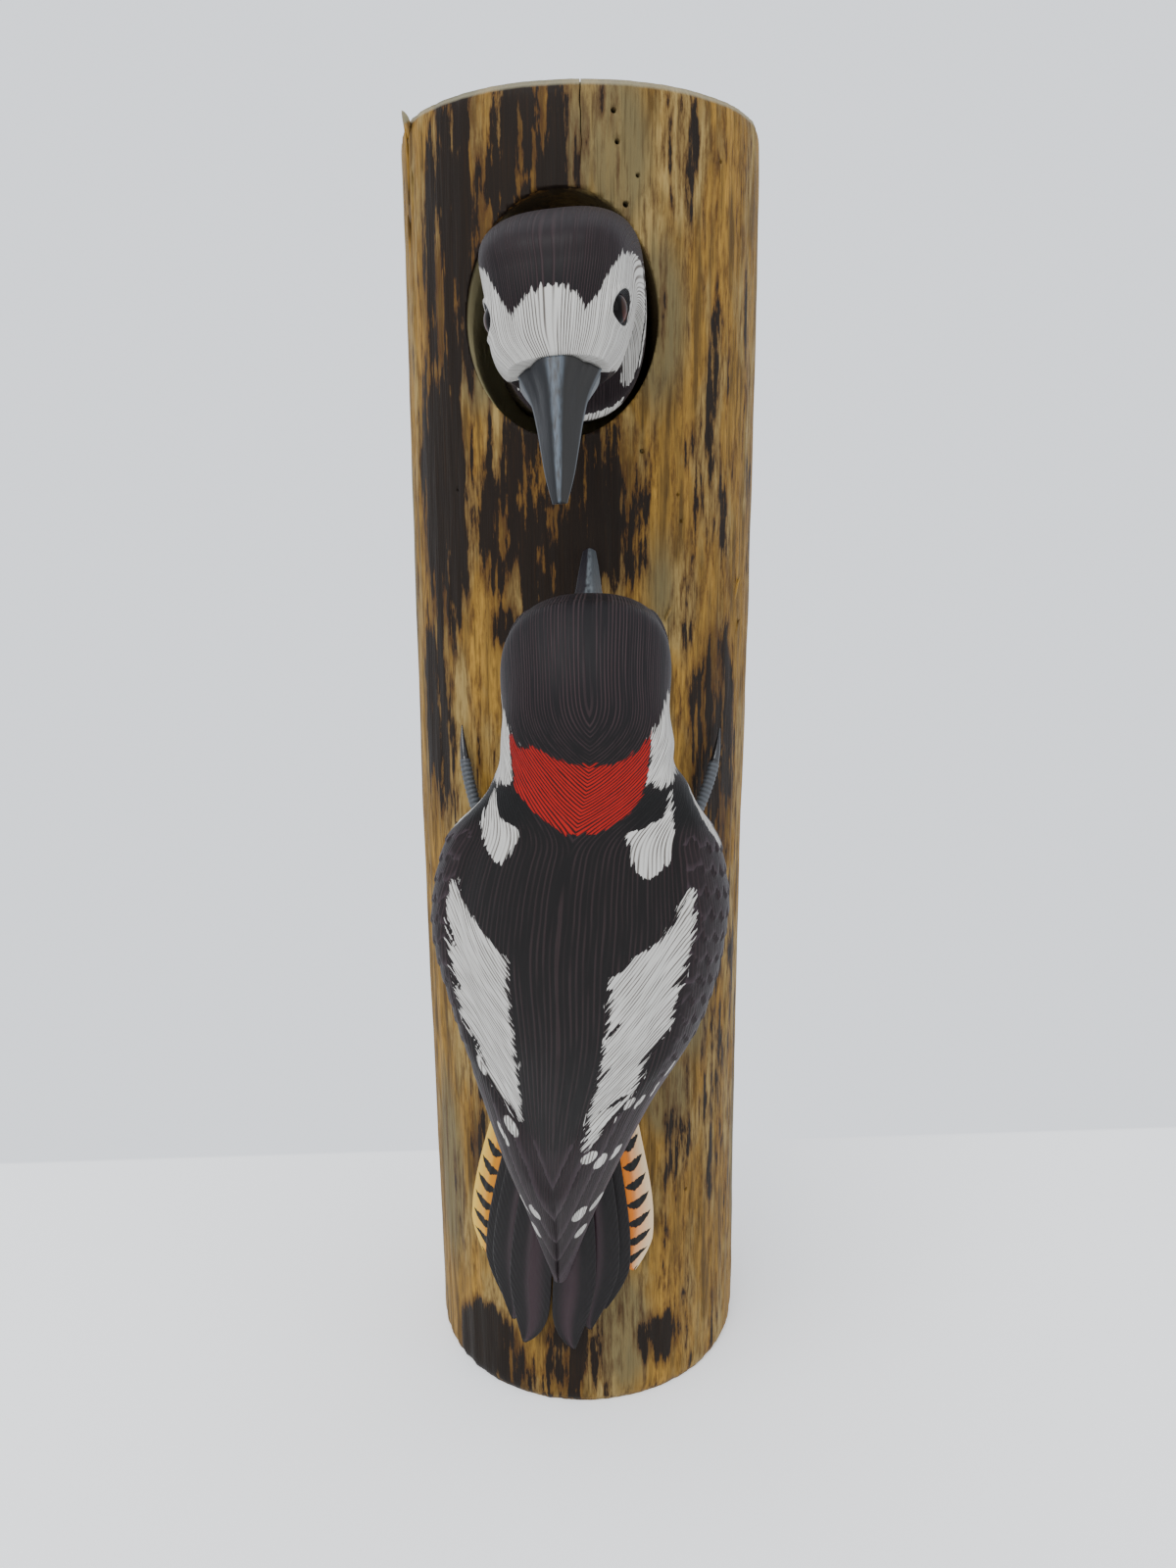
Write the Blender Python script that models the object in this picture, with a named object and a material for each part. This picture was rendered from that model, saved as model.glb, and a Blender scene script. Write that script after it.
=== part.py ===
"""Carved and painted great spotted woodpeckers on a sawn log with a nest hole.

One bird clings to the front of the log, tail pressed against it. A second one looks
down out of the nest hole above. Sizes are in millimetres in the row frame: the log
stands on z = 0 with its axis on x = y = 0, and the birds are on its -Y side.
"""

import math
from collections import namedtuple

import bmesh
import bpy
from mathutils import Matrix, Vector

MM = 0.001
GAP = 0.35  # clearance between two neighbouring pieces

# Log
LOG_RADIUS = 45.7
LOG_HEIGHT = 340.0
LOG_SIDES = 56
LOG_LAYERS = 10
LOG_WAVE = 0.55  # how far the log strays from a true round
HOLE_RADIUS = 25.0
HOLE_X = -5.6
HOLE_Z = 292.6
HOLE_BACK_Y = 8.0

# Head, measured back from the base of the bill along the head's own axis
BILL_LENGTH = 31.0
BILL_HALF_HEIGHT = 5.2
# Half widths of the bill: how far along it, then its half width there.
BROAD_BILL = ((0.0, 7.6), (0.2, 6.0), (0.4, 4.8), (0.6, 3.9), (0.8, 2.9), (1.0, 1.5))
SLIM_BILL = ((0.0, 6.2), (0.2, 4.2), (0.4, 3.0), (0.6, 2.5), (0.8, 1.8), (1.0, 1.1))
EYE_RADIUS = 4.6
EYE_BACK = 10.7
EYE_RISE = 5.3
BIRD_EYE_SIDE = 12.0
NEST_EYE_SIDE = 10.6

# Clinging bird
BIRD_BILL_BASE = (-74.3, 222.5)
BIRD_HEAD_PITCH = 29.0
TURN_AXIS_Y = -85.0
BODY_TURN = 12.0
HEAD_TURN = 0.0
BODY_LEAN = 0.114
HEAD_LEAN = 0.03
SHOULDER_Z = 165.0
SHOULDER_X = -0.2
WING_LIFT = 0.5
WING_THICK = 2.2

# Bird in the nest hole
NEST_BILL_BASE = Vector((-4.1, -76.0, 275.0))
NEST_HEAD_PITCH = -62.0
NEST_ROLL = 4.0
NEST_TURN = -7.0
NEST_NECK_LENGTH = 83.0

# A cross-section of a bird: where its spine is in the bird's own plane of symmetry, the
# direction that the spine points there, how far the body reaches from it sideways, to its
# back and to its belly, how far it is carved to the right of the plane, and how square it
# is, where 2 is an ellipse.
Section = namedtuple("Section", "y z pitch side back belly sway square", defaults=(0.0, 2.2))

# Sections of a head: distance behind the bill's base, rise, half width, crown, throat.
BIRD_HEAD_FORM = (
    (0.0, 0.0, 9.0, 5.4, 8.0),
    (3.5, 0.4, 12.9, 8.6, 11.5),
    (8.5, 0.9, 15.4, 12.2, 13.5),
    (14.5, 1.2, 16.6, 14.6, 15.0),
    (21.0, 1.2, 17.2, 15.4, 15.8),
)
NEST_HEAD_FORM = (
    (0.0, 0.0, 8.6, 5.0, 8.0),
    (3.5, 0.4, 11.6, 8.0, 11.5),
    (8.5, 0.9, 13.8, 11.8, 14.0),
    (14.5, 1.2, 15.6, 14.2, 15.5),
    (21.0, 1.2, 16.4, 15.0, 16.4),
)
HEAD_LAST = len(BIRD_HEAD_FORM) - 1
# How square the first sections of each bird are; the later ones are as the last of these.
BIRD_SQUARENESS = (2.15, 2.25, 2.4, 2.5, 2.5, 2.4, 2.2)
NEST_SQUARENESS = (2.3, 2.5, 2.8, 3.1, 3.3, 2.9, 2.4, 2.2)

NECK_AND_TRUNK = (
    Section(-97.0, 203.5, 52.0, 17.4, 14.6, 16.5, 0.0),
    Section(-95.5, 190.5, 76.0, 18.6, 13.2, 21.0, 0.0),
    Section(-91.0, 176.5, 91.0, 25.6, 16.4, 25.0, 0.0),
    Section(-87.0, 159.0, 96.0, 29.4, 19.0, 27.0, 0.2),
    Section(-82.5, 137.0, 98.0, 26.2, 18.6, 25.0, 1.3),
    Section(-77.0, 115.0, 101.0, 18.4, 15.8, 20.0, 1.8),
    Section(-71.5, 95.0, 106.0, 12.8, 12.0, 13.5, 1.4),
    Section(-67.0, 80.0, 122.0, 10.0, 8.5, 8.0, 0.8),
)
NECK_LAST = HEAD_LAST + 2
TRUNK_LAST = HEAD_LAST + len(NECK_AND_TRUNK)

# Where the folded wing tips lie over the tail, past the end of the trunk.
UNDER_WING_TIPS = (
    Section(-61.5, 64.0, 108.0, 8.5, 5.0, 4.0, 0.6),
    Section(-55.5, 47.0, 104.0, 6.6, 2.6, 2.4, 0.6),
)
WING_FIRST = NECK_LAST + 0.15
WING_LAST = TRUNK_LAST + 1.8
# Wing edges: how far down the wing, and the angles from the middle of the back.
WING_EDGES = (
    (0.00, 62.0, 100.0),
    (0.12, 56.0, 122.0),
    (0.35, 52.0, 124.0),
    (0.58, 22.0, 118.0),
    (0.70, 4.0, 108.0),
    (0.90, 3.0, 48.0),
    (1.00, 3.0, 9.0),
)

# The nest bird's neck, in its own plane, from the base of its bill.
NEST_NECK = (
    Section(-15.5, 21.0, -38.0, 16.6, 13.6, 19.5, 0.0),
    Section(-24.5, 20.4, -12.0, 16.8, 15.4, 24.0, 0.0),
    Section(-37.0, 16.0, 3.0, 16.8, 16.6, 22.0, 0.0),
    Section(-58.0, 14.0, 2.0, 16.8, 16.8, 19.0, 0.0),
    Section(-NEST_NECK_LENGTH, 13.5, 0.0, 16.8, 16.8, 18.0, 0.0),
)

# Tail feathers of one side. Distances from the middle of the tail: the feather's inner
# and outer edge at its root, the same where it is widest, and its tip. Then the heights
# of its root and tip, and its layer, counted towards the log.
TAIL_FEATHERS = {
    "inner": (0.2, 5.5, 0.2, 11.5, 7.0, 79.0, 20.0, 0),
    "second": (3.0, 8.0, 6.0, 17.0, 11.4, 79.0, 27.5, 1),
    "third": (5.0, 11.0, 11.0, 20.5, 16.2, 79.0, 37.0, 2),
    "barred": (14.0, 19.0, 14.5, 24.5, 21.0, 90.0, 46.0, 3),
}
TAIL_WIDEST = 0.6
TAIL_SHIFT = -1.4
TAIL_SPREAD = {"left": 1.05, "right": 1.0}
TAIL_ROOT_Y = -66.0
TAIL_TIP_Y = -48.6
TAIL_THICK = 1.3
TAIL_ARCH = 52.0
TAIL_ROOT_Z = 79.0
TAIL_END_Z = 20.0

# Feet: the hub's azimuth round the log in degrees, its height, and how far out its outer
# front toe ends, in degrees.
FEET = {"left": (-31.0, 165.0, 10.5), "right": (31.5, 163.0, 18.5)}
HUB_RADIUS = 2.5
TOE_RADIUS = 1.75
TOE_END_RADIUS = 1.2
CLAW_RADIUS = 0.75
CLAW_END_RADIUS = 0.28
# Each other toe: azimuth and height that its end lies from the hub, outwards being positive.
OUTER_FRONT_RISE = 28.5
TOES = {
    "inner_front": (-6.0, 25.0),
    "outer_back": (15.0, 2.0),
    "inner_back": (3.0, -13.0),
}
CLAW_SHARE = 0.28
HEEL = (11.0, -53.5, 141.0)

PAINTS = {
    "log_wood": ("#a9803f", 0.62, 0.0),
    "black_paint": ("#2b2629", 0.62, 0.0),
    "white_paint": ("#d9d5d0", 0.6, 0.0),
    "barred_paint": ("#e2a24a", 0.6, 0.0),
    "bill_paint": ("#3b4149", 0.4, 0.1),
    "foot_metal": ("#54575c", 0.5, 0.35),
    "eye_glass": ("#2c0f0c", 0.12, 0.0),
}


def srgb_to_linear(code):
    """A hex colour as linear red, green, blue and alpha."""
    values = [int(code[i : i + 2], 16) / 255 for i in (1, 3, 5)]
    linear = [v / 12.92 if v <= 0.04045 else ((v + 0.055) / 1.055) ** 2.4 for v in values]
    return (*linear, 1.0)


def paint(slot):
    """The material of one slot, made once."""
    if slot in bpy.data.materials:
        return bpy.data.materials[slot]
    code, roughness, metallic = PAINTS[slot]
    material = bpy.data.materials.new(slot)
    material.use_nodes = True
    shader = material.node_tree.nodes["Principled BSDF"]
    shader.inputs["Base Color"].default_value = srgb_to_linear(code)
    shader.inputs["Roughness"].default_value = roughness
    shader.inputs["Metallic"].default_value = metallic
    return material


def add_object(name, bm, slot):
    """Turns a bmesh in millimetres into an object in metres."""
    bmesh.ops.scale(bm, vec=(MM, MM, MM), verts=bm.verts)
    bmesh.ops.recalc_face_normals(bm, faces=bm.faces)
    mesh = bpy.data.meshes.new(name)
    bm.to_mesh(mesh)
    bm.free()
    mesh.shade_smooth()
    mesh.set_sharp_from_angle(angle=math.radians(40))
    mesh.materials.append(paint(slot))
    obj = bpy.data.objects.new(name, mesh)
    bpy.context.scene.collection.objects.link(obj)
    return obj


def helper(obj):
    """Marks a cutter, or a shape that another object takes in."""
    obj.hide_render = True
    obj.display_type = "WIRE"
    return obj


def combine(obj, other, operation):
    """Adds a live Boolean to obj."""
    modifier = obj.modifiers.new(operation.title() + "_" + other.name, "BOOLEAN")
    modifier.operation = operation
    modifier.solver = "EXACT"
    modifier.object = helper(other)
    return obj


def smoothstep(low, high, value):
    share = min(1.0, max(0.0, (value - low) / (high - low)))
    return share * share * (3 - 2 * share)


def curve_value(values, at):
    """A smooth curve through values at 0, 1, 2 and so on (Catmull-Rom)."""
    last = len(values) - 1
    at = min(max(at, 0.0), last)
    i = min(int(at), last - 1)
    share = at - i
    p1, p2 = values[i], values[i + 1]
    p0 = values[i - 1] if i > 0 else 2 * p1 - p2
    p3 = values[i + 2] if i + 2 <= last else 2 * p2 - p1
    return p1 + 0.5 * share * (
        p2 - p0 + share * (2 * p0 - 5 * p1 + 4 * p2 - p3 + share * (3 * (p1 - p2) + p3 - p0))
    )


def table_value(rows, column, at):
    """A column of a table of rows (at, value, ...), smoothed between them."""
    for low, high in zip(rows, rows[1:]):
        if at <= high[0]:
            share = smoothstep(low[0], high[0], at)
            return low[column] + (high[column] - low[column]) * share
    return rows[-1][column]


def head_sections(form, bill_base, pitch):
    """The head's sections, in the bird's plane of symmetry."""
    ahead = Vector((math.cos(math.radians(pitch)), math.sin(math.radians(pitch))))
    crown = Vector((-ahead.y, ahead.x))
    made = []
    for behind, rise, side, back, belly in form:
        spot = Vector(bill_base) - ahead * behind + crown * rise
        made.append(Section(spot.x, spot.y, pitch, side, back, belly))
    return made


def squared(sections, squareness):
    """The same sections, made as square as the list says."""
    last = len(squareness) - 1
    return [section._replace(square=squareness[min(i, last)]) for i, section in enumerate(sections)]


BIRD_HEAD = head_sections(BIRD_HEAD_FORM, BIRD_BILL_BASE, BIRD_HEAD_PITCH)
BIRD_SECTIONS = squared(BIRD_HEAD + list(NECK_AND_TRUNK + UNDER_WING_TIPS), BIRD_SQUARENESS)
NEST_HEAD = head_sections(NEST_HEAD_FORM, (0.0, 0.0), NEST_HEAD_PITCH)
NEST_SECTIONS = squared(NEST_HEAD + list(NEST_NECK), NEST_SQUARENESS)


def section_at(sections, at):
    return Section(*(curve_value([s[i] for s in sections], at) for i in range(len(Section._fields))))


def surface(sections, at, angle, lift=0.0):
    """A point of the body's surface: at counts sections, and angle is 0 along the back."""
    section = section_at(sections, at)
    squareness = 2.0 / section.square
    across, up = math.sin(angle), math.cos(angle)
    depth = section.back if up > 0 else section.belly
    x = math.copysign(abs(across) ** squareness, across) * (section.side + lift)
    rise = math.copysign(abs(up) ** squareness, up) * (depth + lift)
    pitch = math.radians(section.pitch)
    y, z = section.y - math.sin(pitch) * rise, section.z + math.cos(pitch) * rise
    return Vector((x + section.sway, y, z))


def clinging_pose(point):
    """The clinging bird is turned and leans, its head less than its body."""
    turn = HEAD_TURN + (BODY_TURN - HEAD_TURN) * (1 - smoothstep(165.0, 212.0, point.z))
    lean = BODY_LEAN if point.z < SHOULDER_Z else HEAD_LEAN
    centre = Vector((0.0, TURN_AXIS_Y, point.z))
    turned = Matrix.Rotation(math.radians(-turn), 3, "Z") @ (point - centre) + centre
    turned.x += SHOULDER_X + lean * (point.z - SHOULDER_Z)
    return turned


def nest_pose(point):
    """The nest bird faces away from the log, its head rolled and turned a little."""
    share = smoothstep(-62.0, -20.0, point.y)
    roll = Matrix.Rotation(math.radians(NEST_ROLL * share), 3, "Y")
    turn = Matrix.Rotation(math.radians(180.0 + NEST_TURN * share), 3, "Z")
    return turn @ roll @ point + NEST_BILL_BASE


def lofted(name, sections, first, last, rings, around, pose, slot):
    """A closed body between two sections: a sphere drawn out along the bird's spine."""
    bm = bmesh.new()
    bmesh.ops.create_uvsphere(bm, u_segments=around, v_segments=rings + 1, radius=1.0)
    for vertex in bm.verts:
        polar = math.acos(max(-1.0, min(1.0, vertex.co.z)))
        ring = round(polar * (rings + 1) / math.pi)
        share = min(1.0, max(0.0, (ring - 1) / (rings - 1)))
        at = first + (last - first) * share
        if ring in (0, rings + 1):
            section = section_at(sections, at)
            vertex.co = pose(Vector((section.sway, section.y, section.z)))
        else:
            vertex.co = pose(surface(sections, at, math.atan2(vertex.co.x, vertex.co.y)))
    return add_object(name, bm, slot)


def mandible(name, upper, widths, frame, slot):
    """Half of the bill: a chisel that narrows from its base to a blunt edge."""
    rings, around = 7, 12
    bm = bmesh.new()
    bmesh.ops.create_cone(
        bm, cap_ends=True, cap_tris=False, segments=around, radius1=1.0, radius2=1.0, depth=1.0
    )
    for step in range(1, rings):
        bmesh.ops.bisect_plane(
            bm,
            geom=bm.verts[:] + bm.edges[:] + bm.faces[:],
            plane_co=(0, 0, step / rings - 0.5),
            plane_no=(0, 0, 1),
        )
    sense = 1.0 if upper else -1.0
    for vertex in bm.verts:
        along = vertex.co.z + 0.5
        angle = math.atan2(vertex.co.x, vertex.co.y)
        reach = along * (BILL_LENGTH if upper else BILL_LENGTH - 1.2)
        half_width = curve_value([row[1] for row in widths], along * (len(widths) - 1))
        half_height = BILL_HALF_HEIGHT * (1 - along) ** 0.9 + 0.75
        if not upper:
            half_width *= 0.93
            half_height *= 0.8
        rise = half_height * math.cos(angle)
        rise = max(rise, 0.0) if upper else min(rise, 0.0)
        side = half_width * abs(math.sin(angle)) ** 0.9 * math.copysign(1, math.sin(angle))
        vertex.co = frame @ Vector((side, reach + GAP, rise + sense * 0.5 * GAP))
    bmesh.ops.remove_doubles(bm, verts=bm.verts, dist=0.02)
    return add_object(name, bm, slot)


def head_frame(bill_base, pitch):
    """Matrix from the head's own axes (x right, y ahead, z crown) to the bird's plane."""
    return Matrix.Translation((0.0, *bill_base)) @ Matrix.Rotation(math.radians(pitch), 4, "X")


def add_head(prefix, sections, widths, eye_side, frame, pose):
    """Head with its eyes and both halves of its bill."""
    head = lofted(prefix + "head", sections, 0.0, HEAD_LAST - 0.03, 10, 28, pose, "black_paint")
    for side, sign in (("left", -1), ("right", 1)):
        spot = pose(frame @ Vector((sign * eye_side, -EYE_BACK, EYE_RISE)))
        for radius, name in ((EYE_RADIUS + GAP, "_socket"), (EYE_RADIUS, "")):
            bm = bmesh.new()
            bmesh.ops.create_uvsphere(bm, u_segments=12, v_segments=8, radius=radius)
            bmesh.ops.translate(bm, vec=spot, verts=bm.verts)
            made = add_object(prefix + "eye_" + side + name, bm, "eye_glass")
            if name:
                combine(head, made, "DIFFERENCE")
    for half in ("upper", "lower"):
        made = mandible(prefix + "bill_" + half, half == "upper", widths, frame, "bill_paint")
        for vertex in made.data.vertices:
            vertex.co = pose(vertex.co / MM) * MM
    return head


def add_wing(name, sign):
    """A folded wing: a patch of the body's surface, lifted clear of it and given thickness."""
    rows, columns = 20, 6
    bm = bmesh.new()
    bmesh.ops.create_grid(bm, x_segments=rows, y_segments=columns, size=0.5)
    cells = {}
    for vertex in bm.verts:
        cells[vertex] = (vertex.co.x + 0.5, vertex.co.y + 0.5)
    inner = bm.faces[:]
    made = bmesh.ops.extrude_face_region(bm, geom=inner, use_keep_orig=True)
    outer = {v for v in made["geom"] if isinstance(v, bmesh.types.BMVert)}
    for vertex in bm.verts:
        down, across = cells.get(vertex) or (vertex.co.x + 0.5, vertex.co.y + 0.5)
        low = table_value(WING_EDGES, 1, down)
        high = table_value(WING_EDGES, 2, down)
        angle = math.radians(low + (high - low) * across) * sign
        at = WING_FIRST + (WING_LAST - WING_FIRST) * down
        edge = min(1.0, 4.0 * across, 4.0 * (1 - across))
        lift = WING_LIFT
        if vertex in outer:
            lift += WING_THICK * (0.45 + 0.55 * edge) * (1 - 0.45 * down)
        vertex.co = clinging_pose(surface(BIRD_SECTIONS, at, angle, lift))
    return add_object(name, bm, "black_paint")


def add_tail_feather(name, stretch, sizes, slot):
    """One stiff tail feather: a long plate with a pointed end, arched across the tail."""
    root_in, root_out, wide_in, wide_out, tip_x, root_z, tip_z, layer = sizes
    rows, columns = 9, 4
    bm = bmesh.new()
    bmesh.ops.create_grid(bm, x_segments=rows, y_segments=columns, size=0.5)
    made = bmesh.ops.extrude_face_region(bm, geom=bm.faces[:], use_keep_orig=True)
    back = {v for v in made["geom"] if isinstance(v, bmesh.types.BMVert)}
    for vertex in bm.verts:
        down, across = vertex.co.x + 0.5, vertex.co.y + 0.5
        spread = smoothstep(-0.2, TAIL_WIDEST, down)
        point = max(0.0, (down - TAIL_WIDEST) / (1 - TAIL_WIDEST))
        low = root_in + (wide_in - root_in) * spread
        high = root_out + (wide_out - root_out) * spread
        low += (tip_x - 0.5 - low) * point**4
        high += (tip_x + 0.5 - high) * point**1.5
        x = low + (high - low) * across
        z = root_z + (tip_z - root_z) * down
        fall = (TAIL_ROOT_Z - z) / (TAIL_ROOT_Z - TAIL_END_Z)
        y = TAIL_ROOT_Y + (TAIL_TIP_Y - TAIL_ROOT_Y) * fall
        y += x * x / (2 * TAIL_ARCH) + layer * (TAIL_THICK + 0.45)
        y += TAIL_THICK if vertex in back else 0.0
        vertex.co = clinging_pose(Vector((x * stretch + TAIL_SHIFT, y, z)))
    return add_object(name, bm, slot)


def log_radius(angle, z):
    """The log's outline: nearly round, with the slow waves of a grown stem."""
    wave = math.cos(2 * angle + 0.012 * z) + 0.6 * math.cos(3 * angle - 0.02 * z + 1.0)
    wave += 0.5 * math.sin(0.021 * z + angle)
    return LOG_RADIUS + LOG_WAVE * wave * 0.6


def add_log():
    bm = bmesh.new()
    bmesh.ops.create_cone(
        bm,
        cap_ends=True,
        cap_tris=False,
        segments=LOG_SIDES,
        radius1=LOG_RADIUS,
        radius2=LOG_RADIUS,
        depth=LOG_HEIGHT,
    )
    bmesh.ops.translate(bm, vec=(0, 0, LOG_HEIGHT / 2), verts=bm.verts)
    for step in range(1, LOG_LAYERS):
        bmesh.ops.bisect_plane(
            bm,
            geom=bm.verts[:] + bm.edges[:] + bm.faces[:],
            plane_co=(0, 0, LOG_HEIGHT * step / LOG_LAYERS),
            plane_no=(0, 0, 1),
        )
    for vertex in bm.verts:
        angle = math.atan2(vertex.co.y, vertex.co.x)
        radius = log_radius(angle, vertex.co.z)
        vertex.co.x, vertex.co.y = radius * math.cos(angle), radius * math.sin(angle)
    log = add_object("log", bm, "log_wood")
    bm = bmesh.new()
    bmesh.ops.create_cone(
        bm,
        cap_ends=True,
        cap_tris=False,
        segments=40,
        radius1=HOLE_RADIUS,
        radius2=HOLE_RADIUS,
        depth=2 * LOG_RADIUS,
    )
    bmesh.ops.rotate(bm, verts=bm.verts, matrix=Matrix.Rotation(math.radians(90), 3, "X"))
    bmesh.ops.translate(bm, vec=(HOLE_X, HOLE_BACK_Y - LOG_RADIUS, HOLE_Z), verts=bm.verts)
    return combine(log, add_object("hole_cutter", bm, "log_wood"), "DIFFERENCE")


def on_log(azimuth, z, lift):
    """A point a little outside the log: azimuth is 0 at its front and grows to the right."""
    turn = math.radians(azimuth)
    radius = LOG_RADIUS + LOG_WAVE + lift
    return Vector((radius * math.sin(turn), -radius * math.cos(turn), z))


def limb(name, points, radii, slot):
    """A round tapering limb with domed ends: a sphere drawn out along a list of points."""
    rings = len(points) + 2
    bm = bmesh.new()
    bmesh.ops.create_uvsphere(bm, u_segments=8, v_segments=rings + 1, radius=1.0)
    ends = [(points[1] - points[0]).normalized(), (points[-1] - points[-2]).normalized()]
    for vertex in bm.verts:
        polar = math.acos(max(-1.0, min(1.0, vertex.co.z)))
        ring = round(polar * (rings + 1) / math.pi)
        step = min(max(ring - 2, 0), len(points) - 1)
        before, after = points[max(step - 1, 0)], points[min(step + 1, len(points) - 1)]
        along = (after - before).normalized()
        side = along.cross(Vector((0.0, 0.0, 1.0))).normalized()
        rise = side.cross(along)
        angle = math.atan2(vertex.co.y, vertex.co.x)
        beyond = {0: 1.0, 1: 0.7, rings: 0.7, rings + 1: 1.0}.get(ring, 0.0)
        round_it = math.sqrt(max(0.0, 1 - beyond * beyond))
        push = ends[0] * -beyond if ring < 2 else ends[1] * beyond
        radial = (side * math.cos(angle) + rise * math.sin(angle)) * round_it
        vertex.co = points[step] + (radial + push) * radii[step]
    return add_object(name, bm, slot)


def add_foot(side, sign):
    """A cast foot: the shank down to its hub, and four toes with claws, two of them up."""
    azimuth, height, front = FEET[side]
    hub = on_log(azimuth, height, HUB_RADIUS + GAP)
    heel = clinging_pose(Vector((sign * HEEL[0], HEEL[1], HEEL[2])))
    foot = limb("foot_" + side, [heel, hub], [1.9, HUB_RADIUS], "foot_metal")
    for toe, (outwards, upwards) in {"outer_front": (front, OUTER_FRONT_RISE), **TOES}.items():
        points, radii = [], []
        for step in range(6):
            share = step / 5
            lift = (TOE_RADIUS + GAP) * (1 - share**3) + 0.9 * math.sin(math.pi * share) + share * 0.7
            points.append(on_log(azimuth + sign * outwards * share, height + upwards * share, lift))
            if share < 1 - CLAW_SHARE:
                radii.append(TOE_RADIUS + (TOE_END_RADIUS - TOE_RADIUS) * share)
            else:
                radii.append(CLAW_RADIUS if step < 5 else CLAW_END_RADIUS)
        combine(foot, limb(f"toe_{toe}_{side}", points, radii, "foot_metal"), "UNION")
    return foot


def add_clinging_bird():
    frame = head_frame(BIRD_BILL_BASE, BIRD_HEAD_PITCH)
    add_head("bird_", BIRD_SECTIONS, SLIM_BILL, BIRD_EYE_SIDE, frame, clinging_pose)
    lofted("bird_neck", BIRD_SECTIONS, HEAD_LAST, NECK_LAST - 0.02, 6, 32, clinging_pose, "black_paint")
    lofted("bird_trunk", BIRD_SECTIONS, NECK_LAST, TRUNK_LAST, 12, 32, clinging_pose, "black_paint")
    for side, sign in (("left", -1), ("right", 1)):
        add_wing("bird_wing_" + side, sign)
        for feather, sizes in TAIL_FEATHERS.items():
            slot = "barred_paint" if feather == "barred" else "black_paint"
            stretch = sign * TAIL_SPREAD[side]
            add_tail_feather(f"bird_tail_{feather}_{side}", stretch, sizes, slot)
        add_foot(side, sign)


def add_nest_bird():
    frame = head_frame((0.0, 0.0), NEST_HEAD_PITCH)
    add_head("nest_bird_", NEST_SECTIONS, BROAD_BILL, NEST_EYE_SIDE, frame, nest_pose)
    last = len(NEST_SECTIONS) - 1
    lofted("nest_bird_neck", NEST_SECTIONS, HEAD_LAST, last, 6, 28, nest_pose, "black_paint")


def main():
    for obj in list(bpy.data.objects):
        bpy.data.objects.remove(obj)
    add_log()
    add_clinging_bird()
    add_nest_bird()


main()
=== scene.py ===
"""Carved and painted great spotted woodpeckers on a sawn log with a nest hole.

Sizes are in millimetres and turn into metres when a piece is finished. The log stands on
z = 0 with its axis on x = y = 0, and both birds are on its -Y side.
"""

import math

import bmesh
import bpy
import numpy as np
from mathutils import Matrix, Vector, noise


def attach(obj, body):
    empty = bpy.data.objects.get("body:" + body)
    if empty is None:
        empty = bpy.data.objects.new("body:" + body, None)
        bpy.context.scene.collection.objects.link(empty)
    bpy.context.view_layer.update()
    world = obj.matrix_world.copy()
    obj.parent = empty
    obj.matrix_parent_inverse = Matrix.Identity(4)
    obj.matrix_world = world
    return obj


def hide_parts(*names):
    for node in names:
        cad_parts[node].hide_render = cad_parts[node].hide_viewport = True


MM = 0.001
SIDES = (("left", -1), ("right", 1))

# ---------------------------------------------------------------- the birds' form

# Sections of a head: distance behind the bill's base, rise, half width, crown, throat, and
# how far it is carved to the right.
BIRD_HEAD_FORM = (
    (0.0, 0.0, 9.0, 5.4, 8.0, 0.0),
    (3.5, 0.4, 12.9, 8.6, 11.5, 0.0),
    (8.5, 0.9, 15.0, 12.2, 13.5, 0.1),
    (14.5, 1.2, 16.3, 14.6, 15.0, -0.1),
    (21.0, 1.2, 17.2, 15.4, 15.8, -0.3),
)
NEST_HEAD_FORM = (
    (0.0, 0.0, 10.3, 5.0, 8.0, 0.3),
    (3.5, 0.4, 13.0, 8.0, 11.6, 0.6),
    (8.5, 0.9, 14.0, 11.7, 14.6, 0.1),
    (14.5, 1.2, 14.9, 14.1, 17.0, -0.3),
    (21.0, 1.2, 15.8, 15.2, 19.0, -0.2),
)
HEAD_LAST = len(BIRD_HEAD_FORM) - 1

# Sections past the head: where the spine is in the bird's plane of symmetry (y and z), the
# pitch of the spine there, how far the body reaches sideways, to its back and belly, and how
# far it is carved to the right of that plane.
BODY_FORM = (
    (-97.0, 203.5, 52.0, 16.8, 14.6, 16.5, 0.2),
    (-95.5, 190.5, 76.0, 20.6, 13.2, 21.0, 2.1),
    (-91.0, 176.5, 91.0, 27.2, 16.4, 25.0, 0.7),
    (-87.0, 159.0, 96.0, 30.1, 19.0, 27.0, 0.2),
    (-82.5, 137.0, 98.0, 26.2, 18.6, 25.0, 1.7),
    (-77.0, 115.0, 101.0, 18.5, 15.4, 20.0, 0.9),
    (-71.5, 95.0, 106.0, 12.4, 11.4, 14.0, 0.5),
    (-67.0, 80.0, 110.0, 7.9, 7.6, 9.0, 0.7),
    (-62.0, 65.0, 106.0, 4.1, 4.4, 4.6, 0.8),
    (-58.0, 50.5, 104.0, 0.5, 1.6, 1.2, 1.1),
)
NECK_LAST = HEAD_LAST + 2
TRUNK_LAST = HEAD_LAST + 8
NEST_NECK_FORM = (
    (-15.5, 21.0, -38.0, 17.2, 14.5, 22.5, -0.1),
    (-24.5, 20.4, -12.0, 17.3, 14.6, 26.5, 0.2),
    (-37.0, 16.0, 3.0, 17.0, 16.6, 23.5, 0.2),
    (-58.0, 14.0, 2.0, 16.8, 16.8, 19.0, 0.0),
    (-83.0, 13.5, 0.0, 16.8, 16.8, 18.0, 0.0),
)
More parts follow.
